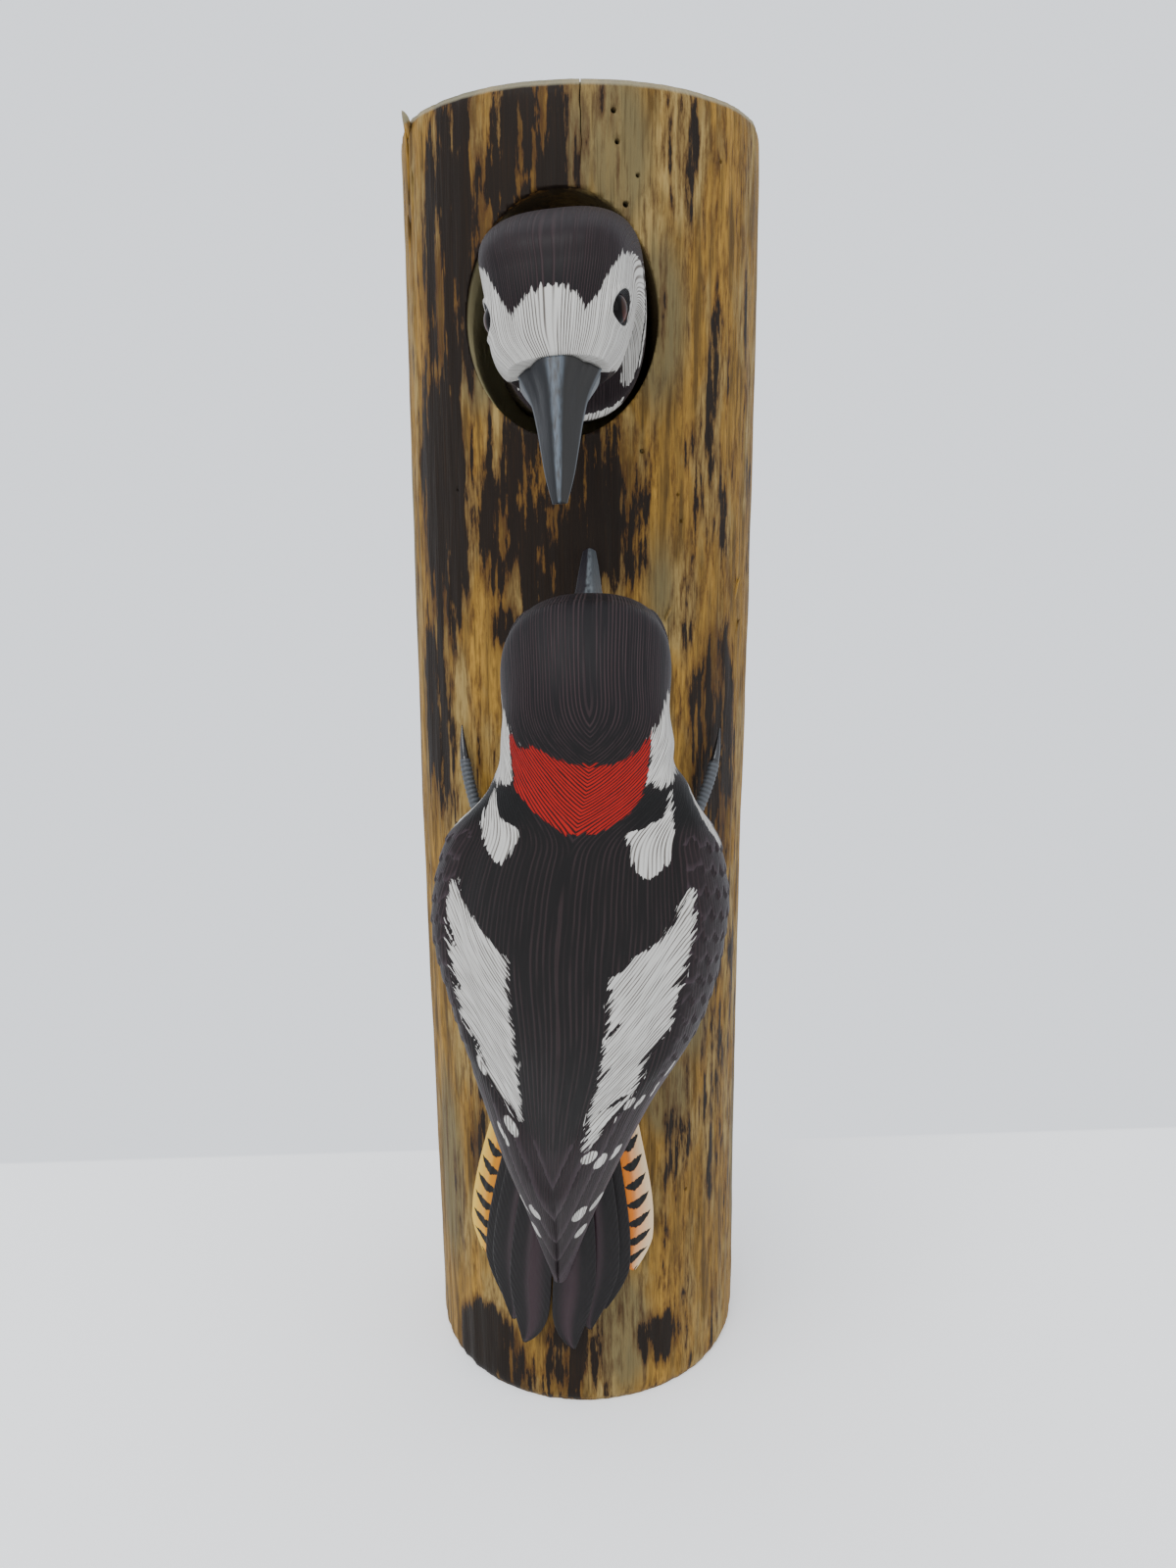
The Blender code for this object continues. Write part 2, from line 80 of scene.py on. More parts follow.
# How square each bird's first sections are, 2 being an ellipse. The rest are as the last one.
BIRD_SQUARENESS = (2.15, 2.25, 2.4, 2.5, 2.5, 2.4, 2.2)
NEST_SQUARENESS = (2.35, 2.65, 2.85, 3.1, 3.3, 3.0, 2.8, 2.4)

# Wing edges: how far down the wing, and the angles from the middle of the back.
WING_FIRST = NECK_LAST + 0.15
WING_LAST = TRUNK_LAST + 1.8
WING_EDGES = (
    (0.00, 62.0, 100.0),
    (0.12, 56.0, 122.0),
    (0.35, 52.0, 124.0),
    (0.58, 22.0, 118.0),
    (0.70, 4.0, 108.0),
    (0.90, 3.0, 100.0),
    (1.00, 3.0, 90.0),
)

WING_THICK = 2.2
# How far a skin lies outside its solids.
SKIN_LIFT = 0.3

# Where the birds are. The clinging one's body turns about an upright axis and leans to a side.
BIRD_BILL_BASE = (-74.3, 222.5)
BIRD_HEAD_PITCH = 29.0
TURN_AXIS_Y = -85.0
BODY_TURN = 12.0
BODY_LEAN = 0.114
HEAD_LEAN = 0.03
SHOULDER_Z = 165.0
SHOULDER_X = -0.2
NEST_BILL_BASE = Vector((-4.1, -76.0, 275.0))
NEST_HEAD_PITCH = -62.0
NEST_ROLL = 4.0
NEST_TURN = -7.0


def smooth_between(low, high, value):
    """0 up to low, 1 from high on, and an even bend between them."""
    share = np.clip((value - low) / (high - low), 0.0, 1.0)
    return share * share * (3 - 2 * share)


def along_curve(values, at):
    """A smooth curve through values at 0, 1, 2 and so on (Catmull-Rom)."""
    values = np.asarray(values, float)
    padded = np.concatenate(([2 * values[0] - values[1]], values, [2 * values[-1] - values[-2]]))
    at = np.clip(at, 0.0, len(values) - 1)
    i = np.minimum(at.astype(int), len(values) - 2)
    share = at - i
    p0, p1, p2, p3 = (padded[i + k] for k in range(4))
    bend = 2 * p0 - 5 * p1 + 4 * p2 - p3 + share * (3 * (p1 - p2) + p3 - p0)
    return p1 + 0.5 * share * (p2 - p0 + share * bend)


def table_value(rows, column, at):
    """A column of a table of rows (at, value, ...), smoothed between them."""
    value = np.full_like(at, rows[0][column])
    for low, high in zip(rows, rows[1:]):
        step = high[column] - low[column]
        value += step * smooth_between(low[0], high[0], at)
    return value


def head_sections(form, bill_base, pitch):
    """A head's form as sections in the bird's plane."""
    ahead = Vector((math.cos(math.radians(pitch)), math.sin(math.radians(pitch))))
    crown = Vector((-ahead.y, ahead.x))
    made = []
    for behind, rise, side, back, belly, sway in form:
        spot = Vector(bill_base) - ahead * behind + crown * rise
        made.append((spot.x, spot.y, pitch, side, back, belly, sway))
    return made


def squared(sections, squareness):
    """The same sections, each with how square it is added at its end."""
    last = len(squareness) - 1
    return [(*section, squareness[min(i, last)]) for i, section in enumerate(sections)]


BIRD_HEAD = head_sections(BIRD_HEAD_FORM, BIRD_BILL_BASE, BIRD_HEAD_PITCH)
BIRD_SECTIONS = squared(BIRD_HEAD + list(BODY_FORM), BIRD_SQUARENESS)
NEST_HEAD = head_sections(NEST_HEAD_FORM, (0.0, 0.0), NEST_HEAD_PITCH)
NEST_SECTIONS = squared(NEST_HEAD + list(NEST_NECK_FORM), NEST_SQUARENESS)


def body_surface(sections, at, angle, lift=0.0):
    """Points of a bird's surface: at counts sections, and angle is 0 along the back."""
    columns = [along_curve(column, at) for column in zip(*sections)]
    y, z, pitch, side, back, belly, sway, square = columns
    squareness = 2.0 / square
    across, up = np.sin(angle), np.cos(angle)
    depth = np.where(up > 0, back, belly)
    x = np.sign(across) * np.abs(across) ** squareness * (side + lift)
    rise = np.sign(up) * np.abs(up) ** squareness * (depth + lift)
    pitch = np.radians(pitch)
    return np.stack([x + sway, y - np.sin(pitch) * rise, z + np.cos(pitch) * rise], axis=-1)


def clinging_pose(points):
    """The clinging bird's body is turned a little, and all of it leans."""
    z = points[:, 2]
    turn = np.radians(-BODY_TURN * (1 - smooth_between(165.0, 212.0, z)))
    x, y = points[:, 0], points[:, 1] - TURN_AXIS_Y
    lean = np.where(z < SHOULDER_Z, BODY_LEAN, HEAD_LEAN)
    posed_x = np.cos(turn) * x - np.sin(turn) * y + SHOULDER_X + lean * (z - SHOULDER_Z)
    posed_y = np.sin(turn) * x + np.cos(turn) * y + TURN_AXIS_Y
    return np.stack([posed_x, posed_y, z], axis=-1)


def nest_pose(points):
    """The nest bird faces away from the log, its head rolled and turned a little."""
    share = smooth_between(-62.0, -20.0, points[:, 1])
    roll, turn = np.radians(NEST_ROLL * share), np.radians(180.0 + NEST_TURN * share)
    x, y, z = points.T
    rolled_x = np.cos(roll) * x + np.sin(roll) * z
    rolled_z = -np.sin(roll) * x + np.cos(roll) * z
    posed_x = np.cos(turn) * rolled_x - np.sin(turn) * y
    posed_y = np.sin(turn) * rolled_x + np.cos(turn) * y
    return np.stack([posed_x, posed_y, rolled_z], axis=-1) + np.array(NEST_BILL_BASE)


def wing_lift(at, angle):
    """How far the folded wings stand proud of the body."""
    down = (at - WING_FIRST) / (WING_LAST - WING_FIRST)
    degrees = np.degrees(np.abs(angle))
    low, high = (table_value(WING_EDGES, column, down) for column in (1, 2))
    proud = smooth_between(low - 10.0, low + 6.0, degrees)
    proud *= 1 - smooth_between(high - 2.0, high + 1.0, degrees)
    proud *= smooth_between(-0.02, 0.10, down)
    return SKIN_LIFT + (WING_THICK + 0.2) * proud * (1 - 0.5 * down)


# ---------------------------------------------------------------- the painted markings

# Where the painted edges run on a head: degrees from the middle of the crown, then the
# front and back edge of the black cap, counted in sections.
BIRD_CAP = (
    (-30, 1.30, 5.77), (0, 1.30, 5.77), (10, 1.25, 5.74), (19, 1.20, 5.68), (28, 1.30, 5.58),
    (38, 1.40, 5.42), (47, 1.60, 5.28), (56, 1.80, 5.10), (65, 2.00, 4.88), (72, 2.20, 4.70),
    (80, 2.50, 4.62), (86, 3.10, 4.50), (92, 3.80, 4.00),
)
NEST_CAP = (
    (-30, 2.32, 9.5), (0, 2.32, 9.5), (8, 2.17, 9.5), (15, 2.00, 9.5), (26.5, 1.62, 9.5),
    (34, 2.05, 9.5), (41, 2.45, 9.5), (50, 3.10, 9.5), (62, 3.60, 9.5), (78, 3.95, 9.5),
    (89, 4.80, 9.5), (91, 6.80, 9.5),
)
# Where a cheek ends behind (degrees, section) and below (section, degrees). The right one ends
# at a height (degrees, height) as well.
BIRD_CHEEK_BACK = (
    (0, 4.0), (24, 4.0), (29, 5.97), (60, 5.96), (78, 5.88), (92, 5.72), (108, 5.6), (117, 5.95),
    (126, 6.45), (131, 6.7), (180, 6.7),
)
BIRD_CHEEK_FOOT = ((0, 112), (1, 125), (2, 138), (3, 145), (4, 150), (5.5, 153), (7, 132))
RIGHT_CHEEK_FOOT = ((45, 192.5), (60, 194.3), (80, 196.0), (100, 197.5))
NEST_CHEEK_BACK = (
    (0, 5.0), (100, 4.95), (112, 5.0), (119, 5.05), (126, 5.4), (136, 5.8), (180, 5.8),
)
NEST_CHEEK_FOOT = (
    (0, 100), (0.5, 111), (1, 125), (1.4, 134), (1.8, 145), (2.5, 150), (5.5, 151), (5.9, 142),
    (6.3, 134), (6.6, 127),
)
# Bands on the body: a height, then its two edges in degrees from the middle of the back.
RED_NAPE = (
    (183.9, -3, 6), (184.3, -6, 9), (185.1, -9, 12.5), (186.5, -15, 17), (188.5, -24, 22.5),
    (190.4, -33, 26.5), (192.8, -43, 30), (197.0, -51, 33.5), (201.2, -57, 36.5),
    (205.5, -60, 38),
)
NECK_PATCHES = {
    -1: (
        (176.3, 28.5, 29.5), (177.5, 26, 34), (178.9, 25, 39), (182.8, 25.5, 51),
        (184.6, 27.5, 54), (185.2, 36, 55), (186.3, 41, 57), (189.4, 54, 63), (191.4, 62.5, 64.5),
    ),
    1: (
        (174.3, 33, 35), (175.5, 30, 39), (177.2, 27, 44.5), (179.5, 25, 46.5), (182.0, 23, 48.5),
        (184.2, 22.5, 49), (185.0, 30, 49.3), (187.0, 42, 50), (189.5, 47.5, 51.3),
        (191.7, 51.5, 52),
    ),
}
SCAPULAR_PATCHES = {
    -1: (
        (111.8, 22, 23), (117.0, 21.5, 31.5), (122.5, 21, 39.5), (130.0, 21, 45.5),
        (134.0, 21, 49.5), (140.0, 20.5, 52.5), (146.0, 20, 52), (151.5, 19.5, 52),
        (155.2, 19, 52), (156.6, 22, 52.5), (159.7, 29, 53), (163.1, 37, 53.5), (166.3, 47, 54.5),
        (170.5, 53, 54.5),
    ),
    1: (
        (104.5, 21.5, 22), (108.4, 22, 27.5), (112.0, 21.5, 30.5), (118.1, 21, 37.5),
        (126.0, 20, 42.5), (134.2, 19.5, 45.5), (141.0, 20, 50.5), (148.0, 19.5, 51.8),
        (153.4, 20.5, 53), (155.0, 25.5, 53.5), (157.6, 30, 54), (161.0, 41, 55), (167.0, 49, 56),
        (171.5, 55, 56),
    ),
}
# Slits between the feathers of these patches: side, height, degrees, sizes and lean.
SCAPULAR_SLITS = (
    (-1, 159.0, 51, 0.45, 2.6, 0.5), (-1, 147.0, 51, 0.5, 3.0, 0.5),
    (-1, 132.0, 47, 0.5, 3.0, 0.5), (1, 151.3, 51, 0.5, 2.6, 0.8), (1, 139.5, 22, 0.45, 3.2, 0.8),
    (1, 127.0, 21, 0.45, 3.0, 0.5), (1, 133.0, 44, 0.5, 3.0, 0.5), (1, 119.8, 35, 0.5, 3.0, 0.8),
)
SHOULDER_EDGE = ((178, 88, 93), (183, 79, 94), (186, 78, 92), (189, 80, 88), (191.5, 82, 83))
# White spots on the folded wings: side, height, degrees, half width, half length, lean.
WING_SPOTS = (
    (1, 119.4, 43, 1.0, 1.8, 0.25), (1, 119.1, 51, 1.0, 1.9, 0.25), (1, 121.5, 61, 0.9, 1.9, 0.3),
    (1, 127.0, 66, 0.8, 2.2, 0.3), (1, 103.0, 27, 1.4, 2.3, 0.3), (1, 101.0, 38, 1.35, 2.6, 0.15),
    (1, 102.4, 52, 1.1, 2.4, 0.3), (1, 81.0, 33, 1.2, 3.0, 0.25), (1, 83.5, 57, 1.0, 3.0, 0.3),
    (1, 72.4, 46, 0.9, 2.6, 0.25), (-1, 110.3, 28.5, 1.1, 3.0, 0.3),
    (-1, 106.9, 38, 1.0, 3.4, 0.3), (-1, 126.0, 45, 0.9, 2.6, 0.3), (-1, 80.3, 25, 1.1, 2.6, 0.2),
    (-1, 80.8, 46, 1.0, 3.2, 0.25), (-1, 71.0, 42, 0.9, 2.6, 0.25),
    (-1, 132.0, 88, 0.9, 2.0, 0.2), (-1, 121.0, 92, 0.9, 2.0, 0.2), (1, 135.0, 92, 0.9, 2.0, 0.2),
    (1, 114.0, 92, 0.9, 2.0, 0.2),
)
# The tips of the long wing feathers along the back, and how steeply their edges rise from it.
FLIGHT_EDGES = (52.0, 59.0, 67.0, 77.0, 89.0, 102.0, 118.0)
FLIGHT_SLOPE = 0.27
COVERT_WIDTH = 5.2
COVERT_PITCH = 5.0
FEATHER_STEP = 0.42
# The barbs run lengthways, so their grooves are counted in millimetres to a degree round.
BARBS_TO_A_DEGREE = 0.31
# The black collar runs between these heights. Above it the neck draws in over the shoulders.
COLLAR = (183.0, 194.5)
WAIST_Z, WAIST_LEFT, WAIST_RIGHT = 196.6, 0.5, 1.6
# How far away a marking or a feather's tip is said to be where there is none.
PLAIN = 3.0
# The section where the face ends, and how far the eye is said to be behind it.
FACE_LAST = 4.6
NO_EYE = 20.0
# Where a head's eyes are: out to the side, behind the bill's base, and above it.
BIRD_EYE = (10.4, 10.7, 5.3)
NEST_EYE = (10.2, 9.6, 5.3)


def inside(rows, key, value, scale):
    """How far value lies inside the band that rows of (key, low, high) draw, in millimetres."""
    keys, lows, highs = zip(*rows)
    sides = np.minimum(value - np.interp(key, keys, lows), np.interp(key, keys, highs) - value)
    return np.minimum(sides * scale, np.minimum(key - keys[0], keys[-1] - key))


def oval_reach(oval, z, degrees, per_degree):
    """How far inside a leaning oval a point is: its height, degrees, half sizes and lean."""
    height, where, half, length, lean = oval
    along = z - height
    aside = (degrees - where) * per_degree - lean * along
    return (1 - np.hypot(aside / half, along / length)) * half


def section_paces(sections):
    """Millimetres from each section to the next one."""
    spine = np.array([(row[0], row[1]) for row in sections])
    gaps = np.linalg.norm(np.diff(spine, axis=0), axis=1)
    return np.append(gaps, gaps[-1])


def surface_scale(sections, at):
    """Millimetres to a degree round a bird, and from one section to the next."""
    half_width = np.maximum(along_curve(list(zip(*sections))[3], at), 3.0)
    pace = np.interp(at, np.arange(len(sections)), section_paces(sections))
    return half_width * math.pi / 180, pace


def cheek_paint(back_rows, foot_rows, at, degrees, per_degree, pace):
    """A white cheek, in millimetres inside its edges behind and below."""
    back = (np.interp(degrees, *zip(*back_rows)) - at) * pace
    foot = (np.interp(at, *zip(*foot_rows)) - degrees) * per_degree
    return np.minimum(back, foot)


def eye_gap(points, eye, base, pitch):
    """Distance from the nearer eye's axis, in the bird's own plane."""
    turn = math.radians(pitch)
    y = base[0] - eye[1] * math.cos(turn) - eye[2] * math.sin(turn)
    z = base[1] - eye[1] * math.sin(turn) + eye[2] * math.cos(turn)
    return np.hypot(points[:, 1] - y, points[:, 2] - z)


def socket_lift(gap, at):
    """The lids stand a little proud round each eye."""
    lids = 0.45 * np.exp(-(((gap - 3.9) / 0.55) ** 2)) - 0.5 * (1 - smooth_between(2.6, 3.5, gap))
    return np.where(at < FACE_LAST, lids, 0.0)


def feather_rows(across, down):
    """Overlapping round-tipped feathers: their rise, and the distance to the nearest tip."""
    row = np.floor(down)
    shift = 0.5 * np.mod(row, 2)
    aside = 2 * (across - shift - np.rint(across - shift))
    share = down - row
    tip = 1 - 0.42 * aside**2
    under = share > tip
    return np.where(under, share - 1, share), np.where(under, PLAIN, tip - share)


def chevron_turn(z):
    """How far the barbs of the nape have drawn in towards the middle, in millimetres."""
    heights = np.linspace(60.0, 240.0, 361)
    steep = 0.95 * smooth_between(212.0, 199.0, heights) * smooth_between(178.0, 188.0, heights)
    total = np.cumsum(steep[::-1])[::-1] * (heights[1] - heights[0])
    return np.interp(z, heights, total)


def nape_and_cheeks(z, side, at, degrees, per_degree, pace):
    """The red nape and the white cheeks below the black cap, which comes lower on the left."""
    lower = 0.24 * smooth_between(28.0, 48.0, degrees) * (side < 0)
    cap = inside(BIRD_CAP, degrees, at - lower, pace)
    cheek = cheek_paint(BIRD_CHEEK_BACK, BIRD_CHEEK_FOOT, at, degrees, per_degree, pace)
    from_red = np.where(side < 0, 46.0, 29.0 + 7.0 * smooth_between(194.0, 202.0, z))
    cheek = np.minimum(cheek, (degrees - from_red) * per_degree)
    right_foot = z - np.interp(degrees, *zip(*RIGHT_CHEEK_FOOT))
    cheek = np.where(side < 0, cheek, np.minimum(cheek, right_foot))
    cap_ends = np.interp(degrees, [row[0] for row in BIRD_CAP], [row[2] for row in BIRD_CAP])
    below_cap = (at - lower - cap_ends) * pace
    red = np.minimum(inside(RED_NAPE, z, degrees * side, per_degree), below_cap)
    return red, np.minimum.reduce([cheek, -cap, -red])


def body_patches(z, side, degrees, per_degree):
    """The white neck patches, the scapular patches with dark slits between their feathers,
    and the wings' spots."""
    found = []
    for patches in (NECK_PATCHES, SCAPULAR_PATCHES):
        left, right = (inside(patches[hand], z, degrees, per_degree) for hand in (-1, 1))
        found.append(np.where(side < 0, left, right))
    neck, scapular = found
    for hand, *slit in SCAPULAR_SLITS:
        cut = -6.0 * oval_reach(slit, z, degrees, per_degree)
        scapular = np.where(side == hand, np.minimum(scapular, cut), scapular)
    spots = np.full_like(z, -PLAIN)
    for hand, *spot in WING_SPOTS:
        reach = oval_reach(spot, z, degrees, per_degree)
        spots = np.where(side == hand, np.maximum(spots, reach), spots)
    return neck, scapular, spots


def wing_feathers(z, from_middle, degrees, per_degree):
    """The wings' relief, how near a feather's tip is, and how brown they are. Rounded coverts
    lie down their outer side, then long feathers drawn to a point."""
    chevron = z - from_middle / FLIGHT_SLOPE
    flight = np.interp(chevron, FLIGHT_EDGES, np.arange(len(FLIGHT_EDGES)))
    flight_share = np.ceil(flight) - flight
    flight_tip = (flight - np.floor(flight)) * 4.5
    rows = (186.0 - z - 0.10 * degrees) / COVERT_PITCH
    covert_share, covert_tip = feather_rows(degrees * per_degree / COVERT_WIDTH, rows)
    low = smooth_between(120.0, 112.0, z - 0.38 * degrees + 14.0)
    outer = smooth_between(50.0, 57.0, degrees) * smooth_between(187.0, 178.0, z)
    outer *= 1 - smooth_between(120.0, 125.0, degrees)
    brown = np.maximum(low, outer) * (1 - smooth_between(121.0, 127.0, degrees))
    coverts = outer * (1 - low)
    relief = FEATHER_STEP * coverts * covert_share + FEATHER_STEP * low * flight_share
    edges = np.where(low > 0.5, flight_tip, np.where(coverts > 0.4, covert_tip * 4.0, PLAIN))
    return relief, edges, brown


def clinging_fields(at, angle):
    """The clinging bird's relief in millimetres, and what its paint follows."""
    flat = body_surface(BIRD_SECTIONS, at, angle)
    z, side, degrees = flat[:, 2], np.where(angle < 0, -1, 1), np.degrees(np.abs(angle))
    per_degree, pace = surface_scale(BIRD_SECTIONS, at)
    red, cheek = nape_and_cheeks(z, side, at, degrees, per_degree, pace)
    neck, scapular, spots = body_patches(z, side, degrees, per_degree)
    shoulder = inside(SHOULDER_EDGE, z, degrees, per_degree)
    belly = np.minimum((degrees - 127.0) * per_degree, 187.0 - z)
    vent = np.minimum((degrees - 126.0) * per_degree, 118.0 - z)
    white = np.maximum.reduce([cheek, neck, shoulder, scapular, belly])
    from_middle = np.abs(flat[:, 0] - along_curve(list(zip(*BIRD_SECTIONS))[6], at))
    relief, edges, brown = wing_feathers(z, from_middle, degrees, per_degree)
    collar = np.clip(np.minimum(COLLAR[1] - z, z - COLLAR[0]) / 3.0, 0, 1)
    collar = collar * smooth_between(18.0, 30.0, degrees) * (white < 0.5)
    gap = eye_gap(flat, BIRD_EYE, BIRD_BILL_BASE, BIRD_HEAD_PITCH)
    relief += socket_lift(gap, at)
    waist = np.exp(-(((z - WAIST_Z) / 3.4) ** 2)) * smooth_between(25.0, 75.0, degrees)
    relief -= np.where(side < 0, WAIST_LEFT, WAIST_RIGHT) * waist
    relief += wing_lift(at, angle)
    grooves = degrees * BARBS_TO_A_DEGREE + chevron_turn(z)
    patch_grooves = degrees * 0.42 + 0.55 * (171.0 - z)
    depth = 6.0 * np.sin(angle)
    return relief, {
        "barbs": np.stack([grooves, -z, depth], axis=-1),
        "patch_barbs": np.stack([patch_grooves, -z, depth], axis=-1),
        "white": white,
        "scapular": scapular,
        "red": np.maximum(red, vent),
        "spot": spots,
        "feather_tip": edges,
        "tint": np.stack([smooth_between(196.0, 212.0, z), brown, collar], axis=-1),
        "eye_gap": np.where(at < FACE_LAST, gap, NO_EYE),
    }


def nest_fields(at, angle):
    """The nest bird's relief in millimetres, and what its paint follows."""
    flat = body_surface(NEST_SECTIONS, at, angle)
    degrees = np.degrees(np.abs(angle))
    per_degree, pace = surface_scale(NEST_SECTIONS, at)
    cheek = cheek_paint(NEST_CHEEK_BACK, NEST_CHEEK_FOOT, at, degrees, per_degree, pace)
    cheek = np.minimum(cheek, -inside(NEST_CAP, degrees, at, pace))
    # Behind the cheek runs a thin black line, then a white band, and the throat is white too.
    back = (at - np.interp(degrees, *zip(*NEST_CHEEK_BACK))) * pace
    upper, foot = (degrees - 90.0) * per_degree, (128.0 - degrees) * per_degree
    band = np.minimum.reduce([back - 2.2, 6.2 - back, upper, foot])
    under = (degrees - 148.0) * per_degree
    throat = np.minimum.reduce([(at - 6.1) * pace, (6.65 - at) * pace, under])
    throat = np.where(angle < 0, throat, -PLAIN)
    gap = eye_gap(flat, NEST_EYE, (0.0, 0.0), NEST_HEAD_PITCH)
    relief = SKIN_LIFT + socket_lift(gap, at)
    blank = np.zeros_like(at)
    down = np.interp(at, np.arange(len(NEST_SECTIONS)), np.cumsum(section_paces(NEST_SECTIONS)))
    grooves = degrees * BARBS_TO_A_DEGREE
    barbs = np.stack([grooves, down, 6.0 * np.sin(angle)], axis=-1)
    front = 1 - smooth_between(2.2, 4.0, at)
    return relief, {
        "barbs": barbs,
        "patch_barbs": barbs,
        "white": np.maximum.reduce([cheek, band, throat]),
        "scapular": blank - PLAIN,
        "red": blank - PLAIN,
        "spot": blank - PLAIN,
        "feather_tip": blank + PLAIN,
        "tint": np.stack([0.6 * front, 1 - front, blank], axis=-1),
        "eye_gap": np.where(at < FACE_LAST, gap, NO_EYE),
    }


# ---------------------------------------------------------------- making a piece


def points_of(verts):
    return np.array([vertex.co[:] for vertex in verts])


def place(verts, points, unit=MM):
    """Move the vertices to points in millimetres. A mesh that is scaled later has unit 1."""
    for vertex, point in zip(verts, points.tolist()):
        vertex.co = Vector(point) * unit


def new_sphere(bm, columns, rows):
    """A sphere to draw out: its new vertices, how far down each one is as a share, and its
    turn in radians."""
    made = bmesh.ops.create_uvsphere(bm, u_segments=columns, v_segments=rows, radius=1.0)
    bm.verts.index_update()
    verts = sorted(made["verts"], key=lambda vertex: vertex.index)
    co = points_of(verts)
    down = np.rint(np.arccos(np.clip(co[:, 2], -1, 1)) / math.pi * rows) / rows
    return verts, down, np.arctan2(co[:, 0], co[:, 1])


def as_object(name, bm):
    """The mesh as an object of the scene."""
    mesh = bpy.data.meshes.new(name)
    bm.to_mesh(mesh)
    bm.free()
    made = bpy.data.objects.new(name, mesh)
    bpy.context.scene.collection.objects.link(made)
    return made


def add_piece(name, bm, material, nodes, fields=()):
    """Finish a piece: its mesh, its fields, its material, and the solids it stands for."""
    bmesh.ops.recalc_face_normals(bm, faces=bm.faces)
    piece = as_object(name, bm)
    for field, values in dict(fields).items():
        vector = values.ndim == 2
        kind = "FLOAT_VECTOR" if vector else "FLOAT"
        attribute = piece.data.attributes.new(field, kind, "POINT")
        flat = values.astype(np.float32).ravel()
        attribute.data.foreach_set("vector" if vector else "value", flat)
    piece.data.shade_smooth()
    piece.data.materials.append(material)
    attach(piece, "root")
    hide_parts(*nodes)
    return piece


def add_skin(name, sections, columns, rows, fields_of, pose, material, nodes):
    """One closed skin over a whole bird, from the bill's base to the end of its sections."""
    bm = bmesh.new()
    verts, down, turn = new_sphere(bm, columns, rows)
    row = down * rows
    # The first rows close the skin flat behind the bill's base, and the last one at the end.
    cap_rows = 4
    at = np.clip((row - cap_rows) / (rows - cap_rows - 1), 0, 1) * (len(sections) - 1)
    angle = turn + 0.18 * np.sin(-2 * turn)
    spread = np.interp(row, [0, 1, 2, 3, cap_rows, rows - 1, rows], [0, 0.4, 0.75, 0.93, 1, 1, 0])
    relief, fields = fields_of(at, angle)
    surface = body_surface(sections, at, angle, relief)
    y, z, *_, sway, _ = (along_curve(column, at) for column in zip(*sections))
    middle = np.stack([sway, y, z], axis=-1)
    place(verts, pose(middle + (surface - middle) * spread[:, None]))
    return add_piece(name, bm, material, nodes, fields)


# ---------------------------------------------------------------- bills, eyes and feet

BILL_LENGTH = 30.4
BILL_HALF_HEIGHT = 5.2
BILL_GAP = 0.35
LOWER_BILL_SHORTER = 1.2
# Half widths of a bill, from its base to its tip.
BROAD_BILL = (9.0, 6.3, 4.9, 3.95, 2.95, 1.5)
SLIM_BILL = (6.2, 4.2, 3.1, 2.6, 2.1, 1.5)
EYE_RADIUS = 4.6
EYE_BULGE = 0.18


def to_head(points, base, pitch):
    """From a head's own x right, y ahead, z up to the bird's plane."""
    turn = math.radians(pitch)
    y = base[0] + points[:, 1] * math.cos(turn) - points[:, 2] * math.sin(turn)
    z = base[1] + points[:, 1] * math.sin(turn) + points[:, 2] * math.cos(turn)
    return np.stack([points[:, 0], y, z], axis=-1)


def add_mandible(name, upper, widths, base, pitch, pose, material):
    """Half of a chisel bill, faceted along a flat ridge as it was carved."""
    bm = bmesh.new()
    verts, down, turn = new_sphere(bm, 72, 110)
    along = np.clip(down * 1.04 - 0.02, 0, 1)
    spread = np.interp(down, [0, 0.01, 0.02, 0.98, 0.99, 1], [0, 0.7, 1, 1, 0.7, 0])
    across, up = np.sin(turn), np.cos(turn)
    half_width = along_curve(widths, along * (len(widths) - 1))
    half_height = BILL_HALF_HEIGHT * (1 - along) ** 0.9 + 0.75
    sense, length, ridge = 1.0, BILL_LENGTH, 0.26
    if not upper:
        sense, length, ridge = -1.0, BILL_LENGTH - LOWER_BILL_SHORTER, 0.34
        half_width = half_width * (0.92 + 0.22 * np.exp(-(((along - 0.15) / 0.12) ** 2)))
        half_height = half_height * 0.8
    share = np.abs(across) ** 0.9
    slope = np.clip((share - ridge) / (1 - ridge), 0, 1)
    facet = (1 - slope**1.25) - 0.04 * np.exp(-(((share - ridge) / 0.08) ** 2))
    nostril = 0.10 * np.exp(-(((share - 0.66) / 0.07) ** 2)) * (1 - smooth_between(0.1, 0.5, along))
    rise = half_height * np.where(up * sense > 0, facet - nostril, 0.0) * sense
    x = half_width * share * np.sign(across)
    reach = along * length + BILL_GAP
    middle = 0.35 * half_height * sense
    points = np.stack([x * spread, reach, middle + (rise - middle) * spread], axis=-1)
    points[:, 2] += 0.12 * BILL_GAP * sense
    place(verts, pose(to_head(points, base, pitch)))
    fields = {
        "facet": np.where(up * sense > 0, share, 1.0),
        "reach": np.stack([x, reach, rise], axis=-1),
    }
    return add_piece(name, bm, material, [name], fields)


